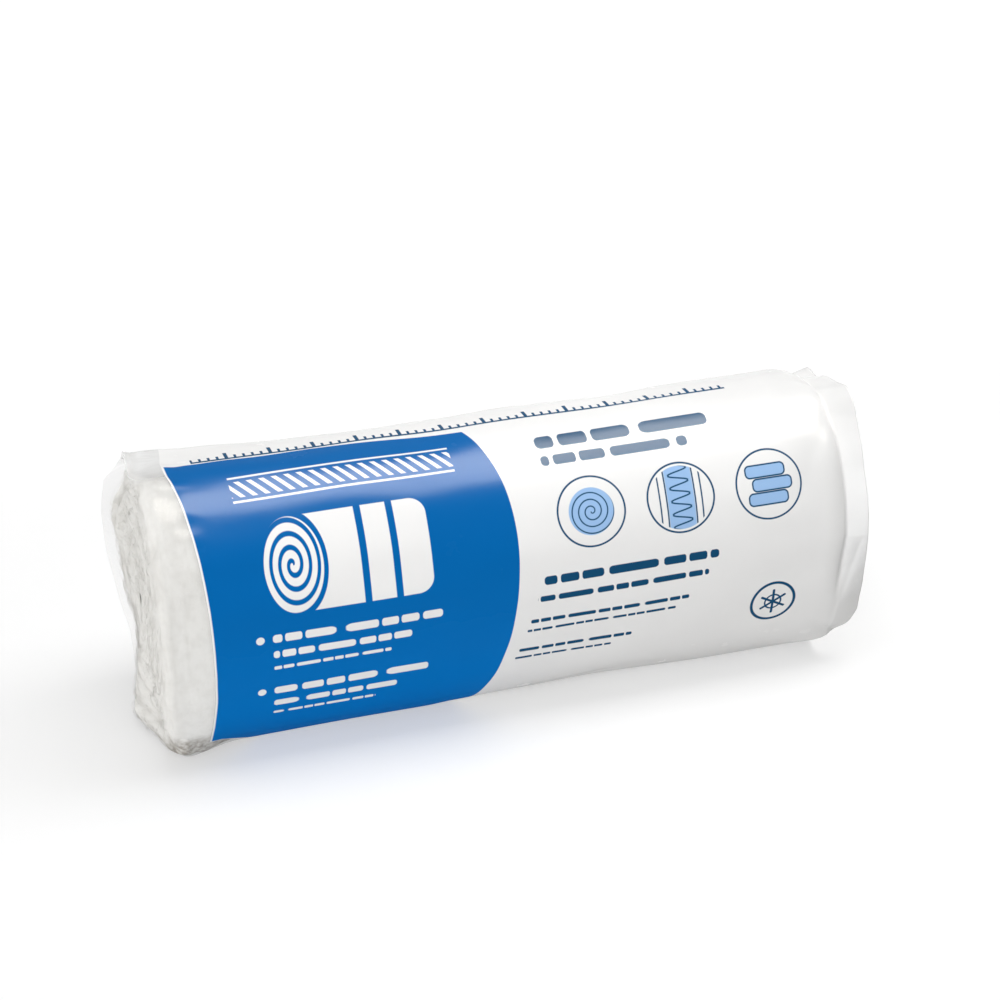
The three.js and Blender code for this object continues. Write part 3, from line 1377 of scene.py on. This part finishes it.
    def outer_point(self, graph: Graph, sizes: dict[str, Wire], wound: Value) -> tuple[Wire, Wire]:
        """A point of the outer section after `wound` turns.

        Args:
            graph: the tree to build in.
            sizes: the tree's inputs.
            wound: turns from the start.

        Returns:
            Its y and z.
        """
        angle = wound * TAU
        power = 2 / self.layout.section.fullness
        y = self.signed_power(graph, graph.math("COSINE", angle), power) * sizes["Half depth"]
        z = self.signed_power(graph, graph.math("SINE", angle), power) * sizes["Half height"]
        return y, graph.most(z, -sizes["Resting depth"])

    @staticmethod
    def eye_point(graph: Graph, sizes: dict[str, Wire], wound: Value) -> tuple[Wire, Wire]:
        """A point of the flat eye after `wound` turns.

        Args:
            graph: the tree to build in.
            sizes: the tree's inputs.
            wound: turns from the start.

        Returns:
            Its y and z.
        """
        angle = wound * TAU
        y = graph.math("COSINE", angle) * sizes["Eye half depth"]
        z = graph.math("SINE", angle) * sizes["Eye half height"]
        return y, z

    @staticmethod
    def slid(graph: Graph, sizes: dict[str, Wire], z: Wire) -> Wire:
        """How far the lower turns have slid out of the left end."""
        return graph.ease(0.0, sizes["Half height"], -z) * sizes["Slump"]

    @staticmethod
    def grid(graph: Graph, columns: int, rows: int) -> tuple[Wire, Wire, Wire]:
        """A flat grid with its two shares from 0 to 1.

        Args:
            graph: the tree to build in.
            columns: faces one way.
            rows: faces the other way.

        Returns:
            The mesh and the two shares.
        """
        values = {"Vertices X": columns + 1, "Vertices Y": rows + 1}
        mesh = graph.node("GeometryNodeMeshGrid", None, values)
        u, v, _ = graph.split(mesh.beside("UV Map"))
        return mesh, u, v

    @staticmethod
    def end_fall(graph: Graph, sizes: dict[str, Wire], inset: Wire, arch: Wire) -> Wire:
        """How far an end falls back at a distance inside the outer surface, as in the solid.

        Args:
            graph: the tree to build in.
            sizes: the tree's inputs.
            inset: the distance inside the outer surface.
            arch: 1 on a turn's crown and 0 in a crease.

        Returns:
            How far back.
        """
        rim = sizes["Rim"]
        near = graph.most(rim - inset, 0.0)
        rounded = rim - graph.math("SQRT", rim * rim - near * near)
        return rounded + sizes["Crease depth"] * graph.unit(inset / rim) * (1.0 - arch)

    @staticmethod
    def shallows(graph: Graph, y: Wire, z: Wire) -> Wire:
        """Share of their depth that the creases lose, more at some places than at others."""
        uneven = graph.noise(graph.vector(y, z, 0.0), 26.0, 2.0, 0.5)
        return graph.above(uneven, 0.3, 2.5) * 0.7

    def end(self, graph: Graph, sizes: dict[str, Wire], side: End) -> Wire:
        """One wound end: the strip's edge from the eye out to the rim.

        Args:
            graph: the coil's tree.
            sizes: the tree's inputs.
            side: which end.

        Returns:
            The end's mesh, with what its finish reads kept on its points.
        """
        windings = self.turns + 1
        mesh, u, v = self.grid(graph, self.steps_round * windings, self.steps_across)
        wound = u * float(windings)
        inner = graph.unit((wound - 1.0) / sizes["Turns"])
        outer = graph.unit(wound / sizes["Turns"])
        share = inner + (outer - inner) * v
        eye_y, eye_z = self.eye_point(graph, sizes, wound)
        out_y, out_z = self.outer_point(graph, sizes, wound)
        y = eye_y + (out_y - eye_y) * share
        z = eye_z + (out_z - eye_z) * share
        inset = graph.length(out_y - y, out_z - z)
        full = (outer - inner) * sizes["Turns"]
        arch = (v * (1.0 - v) * 4.0) ** 0.7 * full
        arch = arch + (1.0 - arch) * self.shallows(graph, y, z)
        x = sizes["Half length"] - self.end_fall(graph, sizes, inset, arch)
        if side is End.LEFT:
            x = x + self.slid(graph, sizes, z)
        values = {"Geometry": mesh, "Position": graph.vector(x * side.value, y, z)}
        placed = graph.node("GeometryNodeSetPosition", None, values)
        if side is End.RIGHT:
            placed = graph.node("GeometryNodeFlipFaces", None, {"Mesh": placed})
        layered = graph.ease(1.0 * MM, 10.0 * MM, inset)
        placed = self.store(graph, placed, "crease", "FLOAT", (1.0 - arch) * full * layered)
        coil = graph.vector(wound * 26.0, v * 13.0 + wound * 7.0, x * 300.0)
        placed = self.store(graph, placed, "coil", "FLOAT_VECTOR", coil)
        way = graph.vector(0.0, eye_z - out_z, out_y - eye_y)
        placed = self.store(graph, placed, "way", "FLOAT_VECTOR", way)
        return self.store(graph, placed, "layered", "FLOAT", layered)

    def wall(self, graph: Graph, sizes: dict[str, Wire], ring: Ring, rows: int) -> Wire:
        """A wall right along the roll.

        Args:
            graph: the coil's tree.
            sizes: the tree's inputs.
            ring: the ring that the wall runs through.
            rows: how many rows of faces it has.

        Returns:
            The wall's mesh, with what its finish reads kept on its points.
        """
        mesh, u, v = self.grid(graph, self.steps_round, rows)
        out_y, out_z = self.outer_point(graph, sizes, u)
        if ring is Ring.OUTSIDE:
            y, z = out_y, out_z
            reach = sizes["Half length"] - sizes["Rim"]
        else:
            y, z = self.eye_point(graph, sizes, u)
            inset = graph.length(out_y - y, out_z - z)
            fall = self.end_fall(graph, sizes, inset, self.shallows(graph, y, z))
            reach = sizes["Half length"] - fall
        left = reach + self.slid(graph, sizes, z)
        even = 0.5 - graph.math("COSINE", v * math.pi) * 0.5
        x = (reach + left) * even - left
        values = {"Geometry": mesh, "Position": graph.vector(x, y, z)}
        placed = graph.node("GeometryNodeSetPosition", None, values)
        if ring is Ring.EYE:
            placed = graph.node("GeometryNodeFlipFaces", None, {"Mesh": placed})
        placed = self.store(graph, placed, "crease", "FLOAT", 0.0)
        coil = graph.vector(u * 40.0, x * 60.0, z * 20.0)
        placed = self.store(graph, placed, "coil", "FLOAT_VECTOR", coil)
        return self.store(graph, placed, "layered", "FLOAT", 0.0)

    @staticmethod
    def store(graph: Graph, mesh: Wire, name: str, kind: str, value: Any) -> Wire:
        """Keeps a value on the mesh's points under a name.

        Args:
            graph: the tree to build in.
            mesh: the geometry.
            name: the attribute's name.
            kind: its data type.
            value: what is kept.

        Returns:
            The geometry with the attribute.
        """
        settings = {"data_type": kind, "domain": "POINT"}
        values = {"Geometry": mesh, "Name": name, "Value": value}
        return graph.node("GeometryNodeStoreNamedAttribute", settings, values)

    @staticmethod
    def named(graph: Graph, name: str, kind: str) -> Wire:
        """Reads a value that was kept under a name."""
        return graph.node("GeometryNodeInputNamedAttribute", {"data_type": kind}, {"Name": name})

    def roughened(self, graph: Graph, mesh: Wire) -> Wire:
        """Lumps and tufts over the merged coil, most on its ends. Their heights are in millimetres.

        Args:
            graph: the tree to build in.
            mesh: the merged coil.

        Returns:
            The rough coil.
        """
        place = graph.node("GeometryNodeInputPosition")
        layered = self.named(graph, "layered", "FLOAT")
        normal = graph.node("GeometryNodeInputNormal")
        lumps = graph.noise(place, 44.0, 2.0, 0.5) - 0.5
        tufts = graph.noise(place, 160.0, 4.0, 0.65) - 0.5
        fine = graph.noise(place, 620.0, 3.0, 0.7) - 0.5
        along, _, _ = graph.split(place)
        near_end = graph.ease(-0.165, -0.185, along)
        loose = graph.most(layered, near_end * 0.7)
        lift = (lumps * 2.5 + tufts * 1.1) * loose + (tufts * 0.6 + fine * 0.7) - near_end * 0.3 - 0.3
        settings = {"operation": "SCALE"}
        offset = graph.node("ShaderNodeVectorMath", settings, {0: normal, "Scale": lift * MM})
        return graph.node("GeometryNodeSetPosition", None, {"Geometry": mesh, "Offset": offset})

    @staticmethod
    def random(graph: Graph, low: float, high: float, seed: int) -> Wire:
        """A random number for each point."""
        # Sockets 2 and 3 and output 1 are the node's plain numbers, and socket 8 is its seed
        return graph.node("FunctionNodeRandomValue", None, {2: low, 3: high, 8: seed}, output=1)

    def loose_fibres(self, graph: Graph, sizes: dict[str, Wire], mesh: Wire) -> Wire:
        """Bent single fibres that stand out of the two ends, mostly along the turns.

        Args:
            graph: the tree to build in.
            sizes: the tree's inputs.
            mesh: the rough coil.

        Returns:
            The fibres' mesh.
        """
        layered = self.named(graph, "layered", "FLOAT")
        where = graph.math("GREATER_THAN", layered, 0.2)
        values = {
            "Mesh": mesh,
            "Selection": where,
            "Density": sizes["Fibre density"],
            "Seed": self.place_seed,
        }
        points = graph.node("GeometryNodeDistributePointsOnFaces", None, values)
        way = self.named(graph, "way", "FLOAT_VECTOR")
        values = {"Primary Axis": points.beside("Normal"), "Secondary Axis": way}
        settings = {"primary_axis": "Z", "secondary_axis": "X"}
        flat = graph.node("FunctionNodeAxesToRotation", settings, values)
        swing = self.random(graph, *self.fibre_swings, self.swing_seed)
        values = {"Euler": graph.vector(0.0, 0.0, swing)}
        turn = graph.node("FunctionNodeEulerToRotation", None, values)
        settings = {"rotation_space": "LOCAL"}
        values = {"Rotation": flat, "Rotate By": turn}
        turned = graph.node("FunctionNodeRotateRotation", settings, values)
        values = {
            "Resolution": 4,
            "Start": (-0.5, 0.0, -0.04),
            "Middle": (0.1, 0.25, 1.0),
            "End": (0.5, -0.1, 0.1),
        }
        strand = graph.node("GeometryNodeCurveQuadraticBezier", None, values)
        length = self.random(graph, *self.fibre_lengths, self.length_seed)
        rise = self.random(graph, *self.fibre_rises, self.rise_seed)
        values = {
            "Points": points,
            "Instance": strand,
            "Rotation": turned,
            "Scale": graph.vector(length, length, rise),
        }
        scattered = graph.node("GeometryNodeInstanceOnPoints", None, values)
        real = graph.node("GeometryNodeRealizeInstances", None, {"Geometry": scattered})
        values = {"Resolution": 3, "Radius": sizes["Fibre radius"]}
        ring = graph.node("GeometryNodeCurvePrimitiveCircle", None, values)
        values = {"Curve": real, "Profile Curve": ring, "Fill Caps": True}
        return graph.node("GeometryNodeCurveToMesh", None, values)

    def settle(self, mesh: bpy.types.Mesh, film: "FilmSleeve") -> None:
        """Fits the side of the finished coil to its film and bulges its left end.

        Args:
            mesh: the coil's mesh, whose points move.
            film: the sleeve that holds it.
        """
        layout, section = self.layout, self.layout.section
        flat = np.empty(len(mesh.vertices) * 3, np.float32)
        mesh.vertices.foreach_get("co", flat)
        points = flat.reshape(-1, 3).astype(float)
        x = points[:, 0] - layout.middle
        y, z = points[:, 1], points[:, 2] - layout.axis_height
        turn, reach = section.place_of(y, z)
        outward = section.outward(turn)
        round_it = section.heights_round(turn)
        # Inside the film the side follows its relief, and past the left mouth it swells freely
        low = ramp(-35 * MM, -55 * MM, round_it)
        held = ramp((-191 - low * 11) * MM, (-179 - low * 4) * MM, x)
        loose = swelling(x, round_it) + (0.6 + low * 0.5) * MM
        snug = film.relief(x, round_it) + (1.0 - low * 0.6) * MM
        lift = (loose * (1 - held) + snug * held) * reach**1.5
        points[:, 1] += outward[:, 0] * lift
        points[:, 2] += outward[:, 1] * lift
        # The left end bulges out to its rim's own line, and less towards the eye
        heights = round_it / MM
        plain = -layout.half_length - self.slump * ramp(0, section.half_height, -z)
        moved = self.left_rim(heights, section.girth() / MM) * MM - plain
        near = ramp(-layout.half_length + 45 * MM, -layout.half_length + 5 * MM, x)
        points[:, 0] += moved * near * reach**2
        points[:, 2] = np.maximum(points[:, 2], self.floor_gap)
        mesh.vertices.foreach_set("co", points.ravel())
        mesh.update()


def freeze(piece: bpy.types.Object) -> None:
    """Turns what a piece's modifiers make into its own plain mesh.

    Args:
        piece: the object, whose modifiers go.
    """
    graph = bpy.context.evaluated_depsgraph_get()
    mesh = bpy.data.meshes.new_from_object(piece.evaluated_get(graph))
    piece.modifiers.clear()
    piece.data = mesh
    mesh.name = piece.name


# ---------------------------------------------------------------------------------------------
# The film sleeve
# ---------------------------------------------------------------------------------------------


@dataclass
class FilmSleeve:
    """The printed sleeve, drawn tight along the roll and loose at its two mouths.

    The lifts, the folds and the lines round the mouths are in millimetres, and the other lengths
    in metres.
    """

    layout: Layout
    columns: int = 300
    rows: int = 150
    thickness: float = 0.15 * MM
    mouth_reach: float = 44 * MM
    crease_count: int = 16
    crease_seed: int = 5
    broad_seed: int = 11
    middling_seed: int = 23
    flutter_seed: int = 37
    crumple_seed: int = 51
    broad_lift: float = 0.6
    flutter_lift: float = 0.8
    crumple_lift: float = 0.35
    lap_lift: float = 0.35
    left_mouth: MouthLine = MouthLine(
        (
            (-245.0, -209.5), (-230.0, -207.0), (-212.0, -204.5), (-195.0, -201.0),
            (-175.0, -201.0), (-160.0, -202.0), (-148.0, -203.5), (-130.0, -203.0),
            (-118.0, -198.5), (-108.0, -193.5), (-96.0, -190.0), (-84.0, -189.5), (-75.0, -192.5),
            (-64.0, -197.5), (-50.0, -202.0), (-40.0, -204.0), (100.0, -204.5), (128.0, -203.0),
            (138.0, -203.0), (147.0, -201.7), (156.0, -206.0), (166.0, -210.0), (206.0, -212.5),
        ),
        2.5,
    )
    left_draw: MouthLine = MouthLine(
        (
            (-245.0, 1.0), (-150.0, 3.0), (-90.0, 5.0), (0.0, 6.5), (110.0, 5.0), (138.0, 2.0),
            (150.0, 3.0), (205.0, 4.0),
        ),
    )
    right_mouth: MouthLine = MouthLine(
        (
            (-245.0, 214.0), (-150.0, 207.0), (-92.0, 202.0), (-80.0, 202.0), (-73.0, 203.0),
            (-68.0, 209.5), (-64.0, 216.0), (-51.0, 219.5), (-22.0, 219.0), (-2.0, 217.5),
            (12.0, 216.2), (170.0, 216.2),
        ),
        1.5,
    )
    right_flare: MouthLine = MouthLine(
        (
            (-245.0, -2.0), (-90.0, -2.0), (-68.0, -2.4), (-54.0, -4.7), (-40.0, -6.9),
            (-22.0, -7.2), (-2.0, -4.6), (9.0, -2.6), (23.0, -1.2), (36.0, -1.4), (54.0, -2.2),
            (72.0, 0.8), (86.0, 6.4), (95.0, 7.8), (111.0, 1.0), (141.0, -5.5), (153.0, -2.2),
        ),
        3.0,
    )
    right_valley: MouthLine = MouthLine(
        (
            (-245.0, 5.5), (-90.0, 2.0), (-64.0, 1.0), (-32.0, 1.0), (-21.0, 4.0), (-9.0, 6.2),
            (4.0, 5.2), (60.0, 6.2), (95.0, 3.5), (140.0, 5.5),
        ),
        3.0,
    )
    right_root: MouthLine = MouthLine(
        (
            (-245.0, 203.0), (-90.0, 202.5), (-64.0, 201.0), (-28.0, 199.5), (0.0, 201.5),
            (14.0, 203.0), (150.0, 203.0),
        ),
        3.0,
    )
    right_curl: MouthLine = MouthLine(
        (
            (-245.0, 0.0), (-100.0, 0.3), (-72.0, 0.2), (-58.0, 0.4), (-35.0, 0.8), (-18.0, 2.0),
            (-4.0, 1.2), (20.0, 0.0),
        ),
    )
    folds: tuple[Fold, ...] = (
        # Left end, on top: the pinched ridge, its peak at the mouth and the valley in front of it
        Fold((-203.0, 145.0), (-112.0, 150.0), 6.5, 4.9, 0.2, -0.2),
        Fold((-208.0, 143.0), (-198.0, 145.0), 4.5, 3.6, 0.3),
        Fold((-200.0, 128.0), (-150.0, 133.0), 5.0, -0.6, 0.0),
        # Right end: a ridge out to the upper corner, a crease in the tail and a wide valley
        Fold((190.0, 122.0), (217.0, 100.0), 5.0, 0.4, 2.0, 0.3),
        Fold((213.0, 6.0), (200.0, -44.0), 2.6, -1.2, -0.4, -0.3),
        Fold((200.0, 88.0), (163.0, 26.0), 11.0, -1.7, -0.3),
        # Below: a short crease, a long hollow, a ridge, and the film drawn in at the left
        Fold((205.0, -66.0), (188.0, -50.0), 4.0, -2.4, -0.3),
        Fold((-30.0, -84.0), (60.0, -78.0), 10.0, -0.8, -1.2),
        Fold((202.0, -69.0), (170.0, -74.0), 5.0, 2.8, 0.2),
        Fold((-192.0, -66.0), (-194.0, -112.0), 6.0, -2.8, -3.6),
    )
    finish: PrintedFilm = PrintedFilm()

    def stations(self) -> np.ndarray:
        """Places of the rows along the roll, closer together towards the mouths.

        Returns:
            The rows' places, from left to right.
        """
        even = np.linspace(0, 1, self.rows + 1)
        crowding = 0.75
        share = even - crowding * np.sin(TAU * even) / TAU
        left, right = self.layout.left_mouth, self.layout.right_mouth
        return left + (right - left) * share

    def small_folds(self) -> list[Fold]:
        """Seeded creases that run in from both mouths.

        Returns:
            The creases, those of the left mouth first.
        """
        rng = np.random.default_rng(self.crease_seed)
        made = []
        for end, mouth in ((End.LEFT, 204.0), (End.RIGHT, 215.0)):
            for _ in range(self.crease_count):
                s = rng.uniform(-240, 240)
                inward = rng.uniform(14, 42)
                slant = rng.uniform(-12, 12)
                lift = rng.uniform(0.3, 0.9) * rng.choice([-1, 1])
                outer = (end.value * mouth, s)
                inner = (end.value * (mouth - inward), s + slant)
                made.append(Fold(outer, inner, rng.uniform(2.2, 4.0), lift, 0.0))
        return made

    def relief(self, x: np.ndarray, s: np.ndarray) -> np.ndarray:
        """How far the film stands outside the section.

        Args:
            x: distances along the roll, from the batt's middle.
            s: distances round the girth, from the front.

        Returns:
            The film's lift, which is negative where it is drawn in.
        """
        girth = self.layout.section.girth()
        broad = Ripple(self.broad_seed, 90 * MM, girth, 1.6)(x, s) * self.broad_lift
        x_mm, s_mm, girth_mm = x / MM, s / MM, girth / MM
        on_top = ramp(125.0, 150.0, s_mm) * ramp(215.0, 195.0, s_mm)
        middling = Ripple(self.middling_seed, 30 * MM, girth, 2.2)(x, s) * (0.22 + 0.4 * on_top)
        past_left = np.clip((-188.0 - x_mm) / 17.0, 0, 1.6)
        left = self.left_draw(s_mm, girth_mm) * past_left**2.4 / 1.2
        right, to_mouth = self.right_tail(x_mm, s_mm, girth_mm)
        loose = to_mouth + np.clip(past_left - 0.9, 0, 1)
        flutter = Ripple(self.flutter_seed, 42 * MM, girth, 3.0)(x, s) * loose * self.flutter_lift
        folds = sum(fold(x_mm, s_mm) for fold in (*self.folds, *self.small_folds()))
        lap = self.lap_lift * ramp(229.0, 230.5, s_mm) * ramp(244.9, 243.0, s_mm)
        clear = ramp(-166.0, -180.0, x_mm)
        crumple = Ripple(self.crumple_seed, 15 * MM, girth, 1.3)(x, s) * self.crumple_lift * clear
        lift = broad + middling + flutter + crumple - left + right + folds + lap
        return lift * MM + swelling(x, s)

    def right_tail(
        self, x: np.ndarray, s: np.ndarray, girth: float
    ) -> tuple[np.ndarray, np.ndarray]:
        """The loose tail past the batt's right end, all in millimetres.

        Args:
            x: distances along the roll, from the batt's middle.
            s: distances round the girth, from the front.
            girth: the distance all the way round.

        Returns:
            How far the tail stands out, and how far towards its mouth each place is, 0 to 1.
        """
        rim = 14.0
        root = self.right_root(s, girth)
        to_rim = np.clip((x - root + rim) / rim, 0, 1)
        mouth = np.maximum(self.right_mouth(s, girth), root + 3.0)
        to_mouth = np.clip((x - root) / (mouth - root), 0, 1)
        valley = self.right_valley(s, girth)
        flare = self.right_flare(s, girth)
        curl = self.right_curl(s, girth) * np.sin(math.pi * to_mouth**0.8)
        out = (flare + valley) * to_mouth - valley * (1 - np.sqrt(1 - to_rim**2)) + curl
        return out, to_mouth

    def build(self) -> bpy.types.Object:
        """Makes the sleeve's mesh with its flat coordinates, and gives it its thickness.

        Returns:
            The sleeve's object.
        """
        layout, section = self.layout, self.layout.section
        girth = section.girth() / MM
        turn = np.linspace(0, 1, self.columns, endpoint=False)
        stations = self.stations() - layout.middle
        xs, turns = np.meshgrid(stations, turn, indexing="ij")
        heights = np.tile(section.heights_round(turn), (len(stations), 1))
        xs = self.to_mouths(xs, heights, girth)
        lift = self.relief(xs, heights)
        base = section.points(turns.ravel()) + section.outward(turns.ravel()) * lift.ravel()[:, None]
        floor = -layout.axis_height + self.thickness
        z = np.maximum(base[:, 1], floor) + layout.axis_height
        points = np.stack([xs.ravel() + layout.middle, base[:, 0], z], axis=-1)
        mesh = bpy.data.meshes.new("printed_sleeve")
        mesh.from_pydata(points.tolist(), [], self.faces(len(stations)))
        self.add_flat_map(mesh, xs, section)
        mesh.materials.append(self.finish.material())
        mesh.polygons.foreach_set("use_smooth", [True] * len(mesh.polygons))
        piece = bpy.data.objects.new("printed_sleeve", mesh)
        bpy.context.scene.collection.objects.link(piece)
        solid = piece.modifiers.new("film", "SOLIDIFY")
        solid.thickness = self.thickness
        solid.offset = -1.0
        return piece

    def to_mouths(self, xs: np.ndarray, heights: np.ndarray, girth: float) -> np.ndarray:
        """Moves the last rows out or in to the two mouths' own lines.

        Args:
            xs: the points' places along the roll, in rows.
            heights: their distances round the girth, in metres.
            girth: the distance all the way round, in millimetres.

        Returns:
            Their new places along the roll.
        """
        first, last = xs[0, 0], xs[-1, 0]
        left = self.left_mouth(heights / MM, girth) * MM - first
        right = self.right_mouth(heights / MM, girth) * MM - last
        near_left = 1 - ramp(0, self.mouth_reach, xs - first)
        near_right = 1 - ramp(0, self.mouth_reach, last - xs)
        return xs + left * near_left + right * near_right

    def faces(self, rows: int) -> list[tuple[int, int, int, int]]:
        """Quads of the open tube.

        Args:
            rows: how many rows of points there are.

        Returns:
            Four point numbers a face.
        """
        made = []
        for row in range(rows - 1):
            for column in range(self.columns):
                after = (column + 1) % self.columns
                low, high = row * self.columns, (row + 1) * self.columns
                made.append((low + column, low + after, high + after, high + column))
        return made

    def add_flat_map(self, mesh: bpy.types.Mesh, xs: np.ndarray, section: Section) -> None:
        """Keeps each corner's place on the flat film, in metres, as a UV map.

        Args:
            mesh: the sleeve's mesh.
            xs: the points' places along the roll, in rows.
            section: the section that is unrolled.
        """
        heights = section.heights_round(np.linspace(0, 1, self.columns + 1))
        rows = len(xs) - 1
        across = np.concatenate([xs, xs[:, :1]], axis=1)
        steps = ((0, 0), (0, 1), (1, 1), (1, 0))
        flat = np.zeros((rows, self.columns, 4, 2), np.float32)
        for corner, (row, column) in enumerate(steps):
            flat[:, :, corner, 0] = across[row : row + rows, column : column + self.columns]
            flat[:, :, corner, 1] = heights[column : column + self.columns]
        layer = mesh.uv_layers.new(name="flat_film")
        layer.data.foreach_set("uv", flat.ravel())


# ---------------------------------------------------------------------------------------------
# Studio
# ---------------------------------------------------------------------------------------------


def pose(x_axis: Vector, y_axis: Vector, z_axis: Vector, place: Vector) -> Matrix:
    """The matrix of something that stands at a place with its axes along three directions."""
    turned = Matrix((x_axis, y_axis, z_axis)).transposed()
    return Matrix.Translation(place) @ turned.to_4x4()


@dataclass(frozen=True)
class Softbox:
    """A rectangular lamp that looks at the roll, with its long side along the roll.

    `place` is in metres from the roll's axis, and `radiance` is how bright its face is. A lamp
    with `gloss_only` shows in gloss and leaves matt surfaces as they are.
    """

    name: str
    place: tuple[float, float, float]
    size: tuple[float, float]
    radiance: float
    gloss_only: bool = False
    colour: tuple[float, float, float] = (1.0, 1.0, 1.0)

    def build(self, centre: Vector) -> None:
        """Hangs the lamp.

        Args:
            centre: what the lamp looks at.
        """
        data = bpy.data.lights.new(self.name, "AREA")
        data.shape = "RECTANGLE"
        data.size, data.size_y = self.size
        data.color = self.colour
        data.energy = self.radiance * math.pi * self.size[0] * self.size[1]
        lamp = bpy.data.objects.new(self.name, data)
        place = Vector(self.place)
        towards = -place.normalized()
        across = towards.cross(Vector((1, 0, 0))).normalized()
        along = across.cross(towards)
        spot = centre + place
        lamp.matrix_world = pose(along, across, -towards, spot)
        lamp.visible_diffuse = not self.gloss_only
        bpy.context.scene.collection.objects.link(lamp)


@dataclass(frozen=True)
class Studio:
    """The floor, the lamps, the white surroundings and the camera."""

    layout: Layout
    yaw: float = math.radians(17.8)
    pitch: float = math.radians(28.2)
    distance: float = 1.467
    rightward: float = 10.8 * MM
    upward: float = 31.6 * MM
    lens: float = 90.0
    sensor_width: float = 36.0
    clip_end: float = 50.0
    floor_size: float = 12.0
    sky: float = 0.42
    floor_albedo: float = 0.55
    near_albedo: float = 0.6
    near_glow: float = 0.45
    far_glow: float = 0.6
    fade: tuple[float, float] = (0.1, 0.55)
    fade_half_length: float = 0.2
    lamps: tuple[Softbox, ...] = (
        Softbox("overhead", (0.25, -0.02, 0.9), (1.2, 0.6), 2.95),
        Softbox("overhead_gloss", (0.25, -0.025, 0.9), (1.2, 0.6), 62.0, True, (1.0, 0.93, 0.83)),
        Softbox("front_left", (-1.45, -1.52, 0.18), (1.2, 1.0), 7.9),
    )

    def camera(self) -> None:
        """Stands the camera in front, to the left and above."""
        yaw, pitch = self.yaw, self.pitch
        right = Vector((math.cos(yaw), -math.sin(yaw), 0))
        level = Vector((math.sin(yaw), math.cos(yaw), 0))
        up = level * math.sin(pitch) + Vector((0, 0, math.cos(pitch)))
        ahead = level * math.cos(pitch) - Vector((0, 0, math.sin(pitch)))
        place = self.centre() + right * self.rightward + up * self.upward - ahead * self.distance
        data = bpy.data.cameras.new("camera")
        data.lens = self.lens
        data.sensor_width = self.sensor_width
        data.clip_end = self.clip_end
        camera = bpy.data.objects.new("camera", data)
        camera.matrix_world = pose(right, up, -ahead, place)
        bpy.context.scene.collection.objects.link(camera)
        bpy.context.scene.camera = camera

    def centre(self) -> Vector:
        """The middle of the roll's axis."""
        return Vector((self.layout.middle, 0, self.layout.axis_height))

    @staticmethod
    def background_rays(graph: Graph) -> Wire:
        """1 for the rays that show the background: camera, glossy and transmission rays.

        Args:
            graph: the tree to build in.

        Returns:
            1 or 0.
        """
        seen = graph.node("ShaderNodeLightPath", output="Is Camera Ray")
        glossy, through = seen.beside("Is Glossy Ray"), seen.beside("Is Transmission Ray")
        return graph.unit(seen + glossy + through)

    @staticmethod
    def grey(level: float) -> tuple[float, ...]:
        """A colour without a hue."""
        return rgba(level, level, level)

    def matt(self, graph: Graph, level: float) -> Wire:
        """A matt grey shader."""
        return graph.node("ShaderNodeBsdfDiffuse", None, {"Color": self.grey(level)})

    def floor(self) -> None:
        """A plain pale floor that shows as nearly white and keeps the object's shadow."""
        half = self.floor_size / 2
        mesh = bpy.data.meshes.new("floor")
        corners = [(-half, -half, 0), (half, -half, 0), (half, half, 0), (-half, half, 0)]
        mesh.from_pydata(corners, [], [(0, 1, 2, 3)])
        material = bpy.data.materials.new("pale_floor")
        graph = Graph.of(material)
        place = graph.node("ShaderNodeTexCoord", output="Object")
        x, y, _ = graph.split(place)
        past_roll = graph.most(abs(x) - self.fade_half_length, 0.0)
        away = graph.ease(*self.fade, graph.length(past_roll, y))
        glow_values = {"Color": self.grey(1.0), "Strength": self.near_glow + away * self.far_glow}
        glow = graph.node("ShaderNodeEmission", None, glow_values)
        values = {0: away, 1: self.matt(graph, self.near_albedo), 2: self.matt(graph, 0.0)}
        fading = graph.node("ShaderNodeMixShader", None, values)
        bright = graph.node("ShaderNodeAddShader", None, {0: glow, 1: fading})
        plain = self.matt(graph, self.floor_albedo)
        values = {0: self.background_rays(graph), 1: plain, 2: bright}
        mixed = graph.node("ShaderNodeMixShader", None, values)
        graph.add("ShaderNodeOutputMaterial", None, {"Surface": mixed})
        mesh.materials.append(material)
        floor = bpy.data.objects.new("floor", mesh)
        bpy.context.scene.collection.objects.link(floor)

    def world(self) -> None:
        """White surroundings, which light the object softly."""
        world = bpy.data.worlds.new("surroundings")
        graph = Graph.of(world)
        strength = self.sky + self.background_rays(graph) * (1.0 - self.sky)
        values = {"Color": self.grey(1.0), "Strength": strength}
        white = graph.node("ShaderNodeBackground", None, values)
        graph.add("ShaderNodeOutputWorld", None, {"Surface": white})
        bpy.context.scene.world = world

    def build(self) -> None:
        """Sets everything up."""
        bpy.context.scene.view_settings.view_transform = "Standard"
        self.camera()
        self.floor()
        self.world()
        for lamp in self.lamps:
            lamp.build(self.centre())


# ---------------------------------------------------------------------------------------------
# The whole scene
# ---------------------------------------------------------------------------------------------


def main() -> None:
    """Builds the studio and the two pieces."""
    logging.basicConfig(level=logging.INFO)
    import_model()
    layout = Layout()
    Studio(layout).build()
    film = FilmSleeve(layout)
    coil = CoiledBatt(layout).build(film)
    sleeve = film.build()
    for piece, node, slot in (
        (coil, "insulation_roll", "glass_fibre"),
        (sleeve, "film_sleeve", "printed_film"),
    ):
        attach(piece, "root")
        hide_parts(node)
        LOG.info("%s: %d faces", piece.name, len(piece.data.polygons))
    layout.section.girth()


if __name__ == "__main__":
    main()
